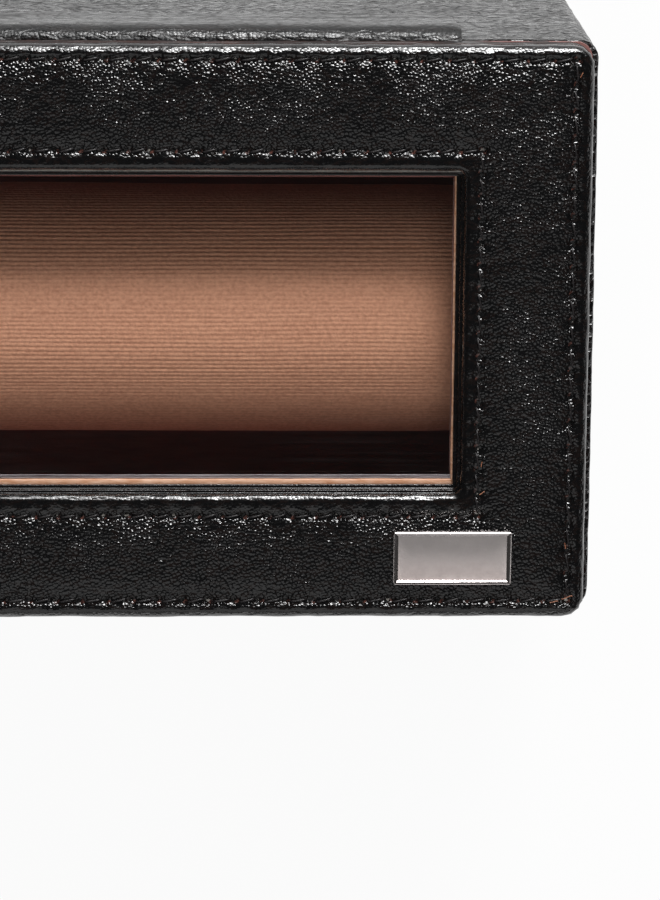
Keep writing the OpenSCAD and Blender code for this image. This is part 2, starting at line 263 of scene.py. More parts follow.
def smooth(obj: Piece, angle: float) -> None:
    """Smooth shading, kept sharp at folds of more than angle degrees."""
    make_active(obj)
    bpy.ops.object.shade_smooth_by_angle(angle=math.radians(angle))


def join(name: str, parts: Sequence[Piece]) -> Piece:
    """Makes one piece of several."""
    bpy.ops.object.select_all(action="DESELECT")
    for part in parts:
        part.select_set(True)
    bpy.context.view_layer.objects.active = parts[0]
    bpy.ops.object.join()
    parts[0].name = parts[0].data.name = name
    return parts[0]


def copied(source: Piece, matrix: Matrix) -> Piece:
    """A copy with a mesh of its own, moved by matrix (in millimetres)."""
    copy = source.copy()
    copy.data = source.data.copy()
    scale = Matrix.Scale(MM, 4)
    copy.data.transform(scale @ matrix @ scale.inverted())
    bpy.context.scene.collection.objects.link(copy)
    return copy


def drop(obj: Piece) -> None:
    """Removes a helper object."""
    bpy.data.objects.remove(obj, do_unlink=True)


def dress(obj: Piece, material: Material, body: str | None, slot: str, *nodes: str) -> Piece:
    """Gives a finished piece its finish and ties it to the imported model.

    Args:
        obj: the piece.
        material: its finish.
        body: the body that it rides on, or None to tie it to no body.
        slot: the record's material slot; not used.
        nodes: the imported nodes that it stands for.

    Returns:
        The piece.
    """
    obj.data.materials.clear()
    obj.data.materials.append(material)
    if body:
        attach(obj, body)
    if nodes:
        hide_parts(*nodes)
    log.info("%s: %d faces, rides on %s", obj.name, len(obj.data.polygons), body)
    return obj


# ---------------------------------------------------------------- forms that several pieces share


@dataclass(frozen=True)
class Outline:
    """A rectangle with round corners, seen from above, in millimetres."""

    x: float
    y0: float
    y1: float
    radius: float

    @property
    def middle(self) -> float:
        """The y of the outline's middle."""
        return (self.y0 + self.y1) / 2

    @property
    def length(self) -> float:
        """The way round the outline."""
        flat = 4 * (self.x - self.radius) + 2 * (self.y1 - self.y0 - 2 * self.radius)
        return flat + 2 * math.pi * self.radius

    def grown(self, by: float) -> "Outline":
        """The outline that lies by further out, or further in if by is less than 0."""
        return Outline(self.x + by, self.y0 - by, self.y1 + by, self.radius + by)

    def outside(self, x: np.ndarray, y: np.ndarray) -> np.ndarray:
        """How far each point lies outside the outline's sides, less than 0 inside."""
        return np.maximum(np.abs(x) - self.x, np.maximum(y - self.y1, self.y0 - y))

    def away(self, x: np.ndarray, y: np.ndarray) -> np.ndarray:
        """The direction square to the outline at points on or near it."""
        cx = np.clip(x, self.radius - self.x, self.x - self.radius)
        cy = np.clip(y, self.y0 + self.radius, self.y1 - self.radius)
        d = np.column_stack([x - cx, y - cy])
        return d / np.maximum(np.linalg.norm(d, axis=1), 1e-9)[:, None]

    def holds(self, p: Vector) -> bool:
        """True if a point lies on the outline, seen from above."""
        cx = min(max(p.x, self.radius - self.x), self.x - self.radius)
        cy = min(max(p.y, self.y0 + self.radius), self.y1 - self.radius)
        return abs(math.hypot(p.x - cx, p.y - cy) - self.radius) <= NEAR

    def along(self, way: np.ndarray, out: np.ndarray) -> tuple[np.ndarray, np.ndarray]:
        """Points round the outline.

        Args:
            way: how far round each point is, from 0 to 1, from the middle of the back
                towards -X.
            out: how far outside the outline it lies.

        Returns:
            The x and the y of each point.
        """
        r, flat_x = self.radius, self.x - self.radius
        flat_y = (self.y1 - self.y0) / 2 - r
        bend = math.pi * r / 2
        legs = [flat_x, bend, 2 * flat_y, bend, 2 * flat_x, bend, 2 * flat_y, bend, flat_x]
        ends = np.cumsum([0.0, *legs])
        s = np.mod(way, 1.0) * ends[-1]
        cx = np.interp(s, ends, np.array([0, -1, -1, -1, -1, 1, 1, 1, 1, 0]) * flat_x)
        cy = np.interp(s, ends, np.array([1, 1, 1, -1, -1, -1, -1, 1, 1, 1]) * flat_y)
        turn = np.interp(s, ends, np.radians([90, 90, 180, 180, 270, 270, 360, 360, 450, 450]))
        return cx + np.cos(turn) * (r + out), self.middle + cy + np.sin(turn) * (r + out)


WINDOW = Outline(122.8, -31.5, 31.7, 0.7)


def band(name: str, outline: Outline, profile: Sequence[Point], step: float) -> Piece:
    """A strip wrapped round an outline, with its ends joined and its section closed.

    Args:
        name: the piece's name.
        outline: what it is wrapped round.
        profile: its section, as distances outside the outline and heights, the last
            point joined to the first.
        step: the widest spacing along the strip.

    Returns:
        The closed piece.
    """
    count = math.ceil(outline.length / step)
    section = np.array([*profile, profile[0]])
    obj = sheet(name, np.arange(count + 1.0), np.arange(len(section) + 0.0))
    at = points(obj)
    way, row = at[:, 0] / count, np.rint(at[:, 1]).astype(int)
    x, y = outline.along(way, section[row, 0])
    place(obj, np.column_stack([x, y, section[row, 1]]))
    tidy_shell(obj)
    return obj


def arc(centre: Point, radius: float, start: float, end: float, count: int) -> list[Point]:
    """Points on an arc of a section, from one angle in degrees to another."""
    turns = np.radians(np.linspace(start, end, count + 1))
    return [(centre[0] + radius * math.cos(a), centre[1] + radius * math.sin(a)) for a in turns]


def rolled(stretches: Sequence[tuple[float, float, int]], width: float) -> list[Point]:
    """The section of a rolled edge, from the flat to the upright.

    Args:
        stretches: for each stretch the slope in degrees that it ends with, its length
            and how many points it gets.
        width: how wide the whole roll is, which all lengths are scaled to.

    Returns:
        How far out and how far down each point is.
    """
    at, path, slope = np.zeros(2), [], 0.0
    for end, length, count in stretches:
        for k in range(count):
            a = math.radians(slope + (end - slope) * (k + 0.5) / count)
            at = at + np.array([math.cos(a), math.sin(a)]) * length / count
            path.append(at)
        slope = end
    scale = width / at[0]
    return [(float(out * scale), float(down * scale)) for out, down in path]


def ladder(start: Point, end: Point, count: int) -> list[Point]:
    """Points between two places of a section, both left out."""
    t = np.linspace(0, 1, count + 2)[1:-1]
    return [(start[0] + (end[0] - start[0]) * a, start[1] + (end[1] - start[1]) * a) for a in t]


# ---------------------------------------------------------------- finishes


class Graph:
    """The node tree of one finish."""

    def __init__(self, name: str, **surface: float | Colour) -> None:
        """Starts a finish.

        Args:
            name: the material's name.
            surface: settings of the main shader that are the same all over.
        """
        self.material = bpy.data.materials.new(name)
        self.material.use_nodes = True
        self.tree = self.material.node_tree
        self.tree.nodes.clear()
        self.output = self.add("OutputMaterial")
        self.surface = self.add("BsdfPrincipled")
        self.show(self.surface)
        self.paint(**surface)

    def add(self, kind: str, inputs: dict | None = None, **options: object) -> bpy.types.Node:
        """Adds a node.

        Args:
            kind: its kind.
            inputs: what its sockets are set to or joined to, by name or number.
            options: its options.

        Returns:
            The node.
        """
        node = self.tree.nodes.new("ShaderNode" + kind)
        for key, value in options.items():
            setattr(node, key, value)
        for socket, value in (inputs or {}).items():
            self.set(node, socket, value)
        return node

    def set(self, node: bpy.types.Node, socket: str | int, value: object) -> None:
        """Sets a socket to a number or a colour, or joins it to another socket."""
        target = node.inputs[socket]
        if isinstance(value, Socket):
            self.tree.links.new(value, target)
        elif isinstance(value, tuple) and len(value) == 3 and target.type == "RGBA":
            target.default_value = (*value, 1.0)
        else:
            target.default_value = value

    def show(self, shader: bpy.types.Node) -> None:
        """Makes a shader the one that shows."""
        self.set(self.output, "Surface", shader.outputs[0])

    def paint(self, **surface: object) -> None:
        """Sets or joins sockets of the main shader."""
        for socket, value in surface.items():
            self.set(self.surface, socket.replace("_", " "), value)

    def skin(
        self, tones: tuple[object, object], share: Socket, rough: Socket, relief: Socket, depth: float
    ) -> Material:
        """Paints the surface between two tones, with its own roughness and relief.

        Args:
            tones: the colours where share is 0 and 1.
            share: how the tones are mixed.
            rough: the roughness.
            relief: the height of the relief, from 0 to 1.
            depth: the depth of the relief in millimetres.

        Returns:
            The finished material.
        """
        normal = self.bump(relief, depth)
        self.paint(Base_Color=self.blend(share, *tones), Roughness=rough, Normal=normal)
        return self.material

    def place(self, scale: Colour = (1, 1, 1), turn: float = 0.0) -> Socket:
        """The piece's own coordinates, turned about Z (in degrees) and scaled."""
        where = self.add("TexCoord").outputs["Object"]
        inputs = {"Vector": where, "Rotation": (0, 0, math.radians(turn)), "Scale": scale}
        return self.add("Mapping", inputs, vector_type="POINT").outputs["Vector"]

    def warped(self, vector: Socket, scale: float, amount: float) -> Socket:
        """Coordinates pushed about by unevenness, so that a pattern isn't regular."""
        push = self.add("TexNoise", {"Vector": vector, "Scale": scale, "Detail": 2.0}).outputs["Color"]
        inputs = {0: push, 1: (amount,) * 3, 2: vector}
        return self.add("VectorMath", inputs, operation="MULTIPLY_ADD").outputs[0]

    def cloud(
        self, scale: float | Colour, detail: float = 3.0, rough: float = 0.55, where: Socket | None = None
    ) -> Socket:
        """Soft unevenness from 0 to 1.

        Args:
            scale: how often it changes in a metre, as one number or one for each axis.
            detail: how much finer unevenness is laid over it.
            rough: how strong that is.
            where: the coordinates, if they aren't the piece's own.

        Returns:
            The unevenness.
        """
        if isinstance(scale, tuple):
            where, scale = self.place(scale), 1.0
        where = self.place() if where is None else where
        inputs = {"Vector": where, "Scale": scale, "Detail": detail, "Roughness": rough}
        return self.add("TexNoise", inputs).outputs["Fac"]

    def cells(self, where: Socket, scale: float, feature: str = "F1", random: float = 1.0) -> Socket:
        """Distance inside a pattern of cells."""
        inputs = {"Vector": where, "Scale": scale, "Randomness": random}
        return self.add("TexVoronoi", inputs, feature=feature).outputs["Distance"]

    def calc(self, operation: str, *values: object) -> Socket:
        """One step of arithmetic on numbers or sockets."""
        return self.add("Math", dict(enumerate(values)), operation=operation).outputs[0]

    def rescale(self, value: Socket, a: float, b: float, low: float = 0.0, high: float = 1.0) -> Socket:
        """Turns the range a to b into low to high, and clips what is outside."""
        return self.add("MapRange", dict(enumerate((value, a, b, low, high))), clamp=True).outputs[0]

    def blend(self, share: object, a: object, b: object) -> Socket:
        """Mixes two colours."""
        return self.add("Mix", {0: share, 6: a, 7: b}, data_type="RGBA").outputs[2]

    def layer(self, share: object, under: bpy.types.Node, over: bpy.types.Node) -> bpy.types.Node:
        """Mixes two shaders."""
        return self.add("MixShader", {0: share, 1: under.outputs[0], 2: over.outputs[0]})

    def attribute(self, name: str) -> Socket:
        """A number that the mesh carries."""
        return self.add("Attribute", attribute_name=name).outputs["Fac"]

    def bump(self, height: Socket, depth: float, over: Socket | None = None) -> Socket:
        """Fine relief of the given depth in millimetres, on top of coarser relief."""
        inputs = {"Height": height, "Distance": depth * MM}
        if over is not None:
            inputs["Normal"] = over
        return self.add("Bump", inputs).outputs[0]


@dataclass(frozen=True)
class Leather:
    """Glazed, pebbled leather, pierced by the stitches of its rows."""

    # Of each mark of a stitch: its place along and across the row, its two half-widths in
    # millimetres, and where it is full.
    HOLE = (0.0, 0.0, 0.52, 0.34, 0.75)
    RIM = (0.34, -0.50, 0.62, 0.42, 0.4)

    name: str
    colour: Colour = (0.0022, 0.0021, 0.0024)
    valley: Colour = (0.0070, 0.0040, 0.0034)
    worn: Colour = (0.008, 0.007, 0.008)
    torn: Colour = (0.130, 0.052, 0.040)
    # Painted shade: the near-black colour that the needle holes are given, for the shade inside them.
    shade: Colour = (0.0006, 0.0005, 0.0005)
    pebble: float = 0.70
    relief: float = 0.175
    folds: float = 0.16
    stretch: Colour = (0.50, 1.0, 1.0)
    turn: float = -26.0
    rough: float = 0.23
    coat: float = 0.6
    cracks: float = 0.0
    streak: float = 0.12
    crack_size: Colour = (1 / 3.6, 1 / 2.2, 1 / 2.2)
    hole_depth: float = 0.55
    rows: tuple["StitchRow", ...] = ()

    def make(self) -> Material:
        """Builds the material."""
        g = Graph(self.name, Coat_Weight=self.coat, Coat_Roughness=0.09, Coat_IOR=1.6, IOR=1.5)
        here = g.warped(g.place(turn=self.turn), 380.0, 0.0007)
        skin = g.cells(here, 1 / (self.pebble * MM), random=0.72)
        dome = g.calc("SUBTRACT", 1.0, g.calc("POWER", g.rescale(skin, 0.0, 0.78), 2.0))
        lined = g.warped(g.place(self.stretch, self.turn), 150.0, 0.003)
        line = g.calc("SUBTRACT", g.cloud(420.0, 3.0, 0.6, lined), 0.5)
        fold = g.rescale(g.calc("ABSOLUTE", line), 0.0, 0.05)
        broad = g.cloud(85.0, 3.0, 0.6)
        height = g.calc("MULTIPLY", dome, g.rescale(broad, 0.32, 0.68, 0.60, 1.20))
        height = g.calc("MULTIPLY_ADD", fold, self.folds, height)
        height = g.calc("MULTIPLY_ADD", g.cloud(4200.0, 2.0, 0.6), 0.06, height)
        calm = g.rescale(g.attribute("smoothed"), 0.0, 1.0, 1.0, 0.07)
        normal = g.bump(g.calc("MULTIPLY", height, calm), self.relief)
        tone = g.blend(fold, self.valley, self.colour)
        tone = g.blend(g.calc("MULTIPLY", g.rescale(broad, 0.55, 0.75), 0.3), tone, self.worn)
        shine = g.rescale(g.cloud(900.0), 0.3, 0.7, self.rough - 0.06, self.rough + 0.08)
        if self.cracks:
            wide = g.warped(g.place(tuple(c / MM for c in self.crack_size)), 0.35, 1.6)
            ridge = g.rescale(g.cells(wide, 1.0, "DISTANCE_TO_EDGE"), 0.0, 0.15)
            normal = g.bump(g.calc("POWER", ridge, 0.6), self.cracks, normal)
            drawn = g.cloud(1.0, 3.0, 0.6, g.warped(g.place((26, 200, 330)), 0.5, 0.8))
            shine = g.calc("MULTIPLY_ADD", g.calc("SUBTRACT", 1.0, ridge), 0.20, shine)
            shine = g.calc("ADD", shine, g.rescale(drawn, 0.36, 0.62, self.streak, -0.03))
        for row in self.rows:
            hole, rim = self.pierced(g, row)
            frayed = g.rescale(g.cloud(1700.0, 3.0, 0.7), 0.46, 0.62)
            tone = g.blend(g.calc("MULTIPLY", rim, frayed), tone, self.torn)
            # Painted shade: each needle hole is darkened in colour for the shade inside it.
            tone = g.blend(hole, tone, self.shade)
            shine = g.calc("MULTIPLY_ADD", hole, 0.6, shine)
            normal = g.bump(g.calc("MULTIPLY", hole, -1.0), self.hole_depth, normal)
        g.paint(Base_Color=tone, Normal=normal, Roughness=shine, Coat_Normal=normal)
        return g.material

    def pierced(self, g: Graph, row: "StitchRow") -> tuple[Socket, Socket]:
        """The needle holes of one row of stitches, and the torn rims beside them.

        Args:
            g: the finish that they are added to.
            row: the row.

        Returns:
            For each of the two a number that is 1 where it lies and 0 elsewhere.
        """
        x, y, z = g.add("SeparateXYZ", {0: g.place((1 / MM,) * 3)}).outputs
        half = (row.y1 - row.y0) / 2
        depth = g.calc("SUBTRACT", y, (row.y0 + row.y1) / 2)
        off_x = g.calc("SUBTRACT", g.calc("ABSOLUTE", x), row.x)
        off_y = g.calc("SUBTRACT", g.calc("ABSOLUTE", depth), half)
        top = g.calc("GREATER_THAN", z, 75.0)
        masks = []
        for where, length, start, off, level, other in (
            (x, 2 * row.x, row.x, depth, half, off_x),
            (y, 2 * half, -row.y0, x, row.x, off_y),
        ):
            step = length / round(length / row.pitch)
            turn = g.calc("ADD", g.calc("DIVIDE", g.calc("ADD", where, start), step), 0.5)
            s = g.calc("MULTIPLY", g.calc("SUBTRACT", g.calc("FRACT", turn), 0.5), step)
            t = g.calc("SUBTRACT", g.calc("ABSOLUTE", off), level)
            t = g.calc("MULTIPLY", t, g.calc("SIGN", off))
            held = g.calc("MULTIPLY", g.calc("LESS_THAN", other, 0.9), top)
            for ds, dt, wide, deep, full in (self.HOLE, self.RIM):
                a = g.calc("MULTIPLY_ADD", s, 0.88, g.calc("MULTIPLY_ADD", t, 0.47, -ds))
                b = g.calc("MULTIPLY_ADD", t, 0.88, g.calc("MULTIPLY_ADD", s, -0.47, -dt))
                sizes = (g.calc("DIVIDE", a, wide), g.calc("DIVIDE", b, deep))
                far = g.calc("ADD", *(g.calc("POWER", g.calc("ABSOLUTE", v), 2.0) for v in sizes))
                masks.append(g.calc("MULTIPLY", g.rescale(far, 1.0, full), held))
        return g.calc("MAXIMUM", masks[0], masks[2]), g.calc("MAXIMUM", masks[1], masks[3])


@dataclass(frozen=True)
class EdgePaint:
    """The painted raw edge of stacked leather and board."""

    name: str = "edge_paint"
    dark: Colour = (0.010, 0.007, 0.007)
    red: Colour = (0.055, 0.016, 0.010)

    def make(self) -> Material:
        """Builds the material."""
        g = Graph(self.name, Coat_Weight=0.12, Coat_Roughness=0.25, IOR=1.4)
        layers, patches = g.cloud((60, 60, 2600), 2.0, 0.5), g.cloud((160, 160, 500))
        share = g.calc("MULTIPLY", g.rescale(layers, 0.42, 0.62), g.rescale(patches, 0.35, 0.6))
        rough = g.rescale(patches, 0.3, 0.7, 0.40, 0.62)
        return g.skin((self.dark, self.red), share, rough, g.calc("ADD", layers, patches), 0.10)


@dataclass(frozen=True)
class Lining:
    """Soft, short-napped lining."""

    name: str = "brown_lining"
    colour: Colour = (0.240, 0.100, 0.090)
    pale: Colour = (0.350, 0.160, 0.143)

    def make(self) -> Material:
        """Builds the material."""
        g = Graph(self.name, Sheen_Weight=0.35, Sheen_Roughness=0.45, IOR=1.45)
        streaks, patch = g.cloud((90, 900, 900), 4.0, 0.65), g.cloud(38.0)
        share = g.calc("MULTIPLY_ADD", g.calc("SUBTRACT", streaks, 0.5), 0.9, patch)
        share = g.rescale(share, 0.35, 0.75)
        nap = g.calc("MULTIPLY_ADD", g.cloud(2600.0, 3.0, 0.6), 0.5, streaks)
        rough = g.rescale(patch, 0.3, 0.7, 0.72, 0.92)
        return g.skin((self.colour, self.pale), share, rough, nap, 0.09)


@dataclass(frozen=True)
class RibbedCloth:
    """Corded cloth, its cords lying along the roll."""

    name: str = "ribbed_cloth"
    # Painted shade, in part: low is the colour in the grooves between cords and high the colour on their
    # crests, so the grooves are painted darker; yarn and twist also vary both at random.
    high: Colour = (0.74, 0.390, 0.250)
    low: Colour = (0.49, 0.228, 0.138)
    faded: Colour = (0.70, 0.40, 0.25)

    def make(self) -> Material:
        """Builds the material."""
        g = Graph(self.name, Sheen_Weight=0.25, Sheen_Roughness=0.4, IOR=1.45)
        twist, yarn = g.cloud((1300, 1500, 1500), 2.0, 0.6), g.cloud((60, 900, 900), 3.0, 0.6)
        # Painted shade: the cord attribute is 1 on each crest and 0 between cords, so the grooves between
        # cords come out darker.
        share = g.calc("MULTIPLY_ADD", g.attribute("cord"), 0.36, 0.42)
        share = g.calc("MULTIPLY_ADD", g.calc("SUBTRACT", yarn, 0.5), 0.50, share)
        share = g.calc("MULTIPLY_ADD", g.rescale(twist, 0.34, 0.66, -0.5, 0.5), 0.70, share)
        tone = g.blend(g.rescale(share, 0.0, 1.0), self.low, self.high)
        patch = g.rescale(g.cloud(26.0, 2.0), 0.35, 0.7, 0.0, 0.16)
        rough = g.rescale(yarn, 0.3, 0.7, 0.78, 0.92)
        return g.skin((tone, self.faded), patch, rough, g.calc("MULTIPLY_ADD", yarn, 0.5, twist), 0.16)


@dataclass(frozen=True)
class TanLeather:
    """Natural tan leather with a burnished cut edge."""

    name: str = "tan_leather"
    colour: Colour = (0.53, 0.255, 0.138)
    pale: Colour = (0.78, 0.50, 0.35)

    def make(self) -> Material:
        """Builds the material."""
        g = Graph(self.name, Coat_Weight=0.2, Coat_Roughness=0.25, IOR=1.48)
        fibre, patch = g.cloud((300, 1400, 1400), 4.0, 0.65), g.cloud(120.0)
        share, rough = g.rescale(fibre, 0.35, 0.7), g.rescale(patch, 0.3, 0.7, 0.42, 0.62)
        return g.skin((self.colour, self.pale), share, rough, g.calc("ADD", fibre, patch), 0.10)


class Metal(Enum):
    """The bare metals, each with its colour and roughness."""

    NICKEL = ((0.93, 0.860, 0.840), 0.13)
    STEEL = ((0.62, 0.62, 0.64), 0.30)


@dataclass(frozen=True)
class Plated:
    """Polished metal with a trace of grain and handling marks."""

    name: str
    metal: Metal
    smeared: float = 0.86
    satin: float = 0.74

    def make(self) -> Material:
        """Builds the material."""
        tone, rough = self.metal.value
        g = Graph(self.name, Metallic=1.0)
        grain, smear = g.cloud((380, 5200, 5200), 3.0, 0.6), g.cloud(420.0)
        dark = tuple(c * self.smeared for c in tone)
        dull = g.calc("MULTIPLY", g.attribute("satin"), self.satin)
        rough = g.calc("ADD", g.rescale(smear, 0.3, 0.7, rough - 0.03, rough + 0.08), dull)
        relief = g.calc("MULTIPLY_ADD", grain, 0.6, smear)
        return g.skin((tone, dark), g.rescale(smear, 0.3, 0.75), rough, relief, 0.014)


@dataclass(frozen=True)
class Board:
    """Grey bookbinder's board, card or foam: matt, flecked and fibrous."""

    name: str
    colour: Colour
    fleck: Colour
    scale: float = 700.0
    rough: float = 0.9

    def make(self) -> Material:
        """Builds the material."""
        g = Graph(self.name, IOR=1.45)
        fibre, fleck = g.cloud(self.scale, 5.0, 0.7), g.cells(g.place(), self.scale * 1.7)
        share = g.calc("MULTIPLY", g.rescale(fibre, 0.4, 0.7), g.rescale(fleck, 0.2, 0.6))
        rough = g.rescale(fibre, 0.3, 0.7, self.rough - 0.1, self.rough)
        return g.skin((self.colour, self.fleck), share, rough, g.calc("ADD", fibre, fleck), 0.12)


@dataclass(frozen=True)
class Laminate:
    """The cut edge of a thin pale laminate: bright lines with dark lines between, partly its own layers and
    partly painted highlight and shade for its fine ridges and grooves.
    """

    name: str = "pale_edging"
    light: Colour = (0.34, 0.31, 0.33)
    dark: Colour = (0.028, 0.012, 0.012)

    def make(self) -> Material:
        """Builds the material."""
        g = Graph(self.name, Coat_Weight=0.3, Coat_Roughness=0.2, IOR=1.5)
        fibre = g.cloud((70, 2400, 2400), 3.0, 0.6)
        # Painted highlight and shade, in part: the stripe attribute lays bright and dark lines along the
        # edge for the light on its ridges and the shade in its grooves, as well as for its own layers.
        wave = g.calc("COSINE", g.calc("MULTIPLY", g.attribute("stripe"), 2 * math.pi))
        stripe = g.calc("MULTIPLY_ADD", wave, 0.5, 0.5)
        stripe = g.calc("MULTIPLY_ADD", g.calc("SUBTRACT", fibre, 0.5), 1.6, stripe)
        share, rough = g.rescale(stripe, 0.25, 0.8), g.rescale(fibre, 0.3, 0.7, 0.35, 0.55)
        return g.skin((self.dark, self.light), share, rough, stripe, 0.06)


@dataclass(frozen=True)
class Thread:
    """Waxed sewing thread, laid from twisted strands."""

    name: str
    colour: Colour
    light: Colour

    def make(self) -> Material:
        """Builds the material."""
        g = Graph(self.name, Coat_Weight=0.3, Coat_Roughness=0.3)
        lay = g.cloud(1.0, 3.0, 0.6, g.place((2600, 2600, 2600), 35))
        share, rough = g.rescale(lay, 0.4, 0.65), g.rescale(lay, 0.3, 0.7, 0.38, 0.6)
        return g.skin((self.colour, self.light), share, rough, lay, 0.08)


@dataclass(frozen=True)
class ClearSheet:
    """A clear plastic pane with a faint haze of fine rubbed lines."""

    name: str = "clear_pane"
    tint: Colour = (0.97, 0.965, 0.96)
    rubbed: Colour = (0.55, 0.50, 0.50)

    def make(self) -> Material:
        """Builds the material."""
        g = Graph(self.name)
        g.tree.nodes.remove(g.surface)
        through = g.add("BsdfTransparent", {"Color": self.tint})
        mirror = g.add("BsdfGlossy", {"Color": (1.0, 1.0, 1.0), "Roughness": 0.03})
        rub = g.add("BsdfDiffuse", {"Color": self.rubbed})
        slant = g.add("LayerWeight", {"Blend": 0.5}).outputs["Facing"]
        share = g.calc("MULTIPLY_ADD", g.calc("POWER", slant, 5.0), 0.90, 0.035)
        streak, smear = g.cloud((14, 1500, 400), 4.0, 0.7), g.cloud((60, 90, 90))
        faint = g.rescale(smear, 0.4, 0.7, 0.002, 0.012)
        haze = g.calc("MULTIPLY", g.rescale(streak, 0.5, 0.72), faint)
        g.show(g.layer(haze, g.layer(share, through, mirror), rub))
        return g.material


# ---------------------------------------------------------------- the lid


@dataclass(frozen=True)
class StitchRow:
    """One row of stitches round a rectangle, in millimetres."""

    x: float
    y0: float
    y1: float
    pitch: float
    seed: int
    padded: int = 1

    def sides(self) -> list[tuple[Vector, Vector, float]]:
        """Each side as its first hole, its direction and its length."""
        wide, deep = 2 * self.x, self.y1 - self.y0
        return [
            (Vector((-self.x, self.y1)), Vector((1, 0)), wide),
            (Vector((self.x, self.y1)), Vector((0, -1)), deep),
            (Vector((self.x, self.y0)), Vector((-1, 0)), wide),
            (Vector((-self.x, self.y0)), Vector((0, 1)), deep),
        ]

    def stitches(self) -> Iterator[tuple[Vector, Vector, float, int]]:
        """Each stitch as its middle, its direction, its length and its number."""
        number = 0
        for start, way, length in self.sides():
            count = round(length / self.pitch)
            step = length / count
            for k in range(count):
                yield start + way * step * (k + 0.5), way, step, number
                number += 1

    def press(self, x: np.ndarray, y: np.ndarray) -> tuple[np.ndarray, np.ndarray]:
        """How the row shapes the leather.

        Args:
            x: where the leather's points are along the box.
            y: where they are across it.

        Returns:
            The height that the row adds and how near it is.
        """
        height, near = np.zeros(len(x)), np.zeros(len(x))
        for start, way, length in self.sides():
            s = (x - start.x) * way.x + (y - start.y) * way.y
            t = (x - start.x) * way.y - (y - start.y) * way.x
            step = length / round(length / self.pitch)
            held = ((s > -1.2) & (s < length + 1.2) & (np.abs(t) < 7)).astype(float)
            # Each pit lies askew, because the thread pulls its hole to one side.
            ds = s - np.rint(s / step) * step
            a, b = ds * 0.86 + t * 0.5, -ds * 0.5 + t * 0.86
            pit = np.exp(-((a / 0.52) ** 2) - (b / 0.74) ** 2)
            spread = 1.15 - 0.62 * np.abs(np.sin(np.pi * (s - 0.35) / step)) ** 1.3
            channel = 0.30 * np.exp(-np.abs(t / spread) ** 2.4)
            channel = channel + 0.34 * bell(t, np.where(t * self.padded > 0, 3.1, 1.1))
            uneven = 1 + 0.5 * noise(s / 5, s * 0, self.seed + 7)
            hump = 0.17 * np.cos(2 * np.pi * (s / step - 0.5)) * bell(t, 1.7) * uneven
            gather = noise(s / 0.75, t / 2.6, self.seed + 11) * bell(t, 2.0) * 0.03
            height = np.minimum(height, held * (gather - channel - 0.50 * pit))
            height += held * (gather + hump)
            near = np.maximum(near, held * bell(t, 2.4))
        return height, near


def rounded(a: np.ndarray, b: np.ndarray, held: np.ndarray) -> np.ndarray:
    """The share of a and b that brings the held points of a square corner onto a round one."""
    return np.where(held, np.maximum(a, b) / np.maximum(np.hypot(a, b), 1e-9), 1.0)


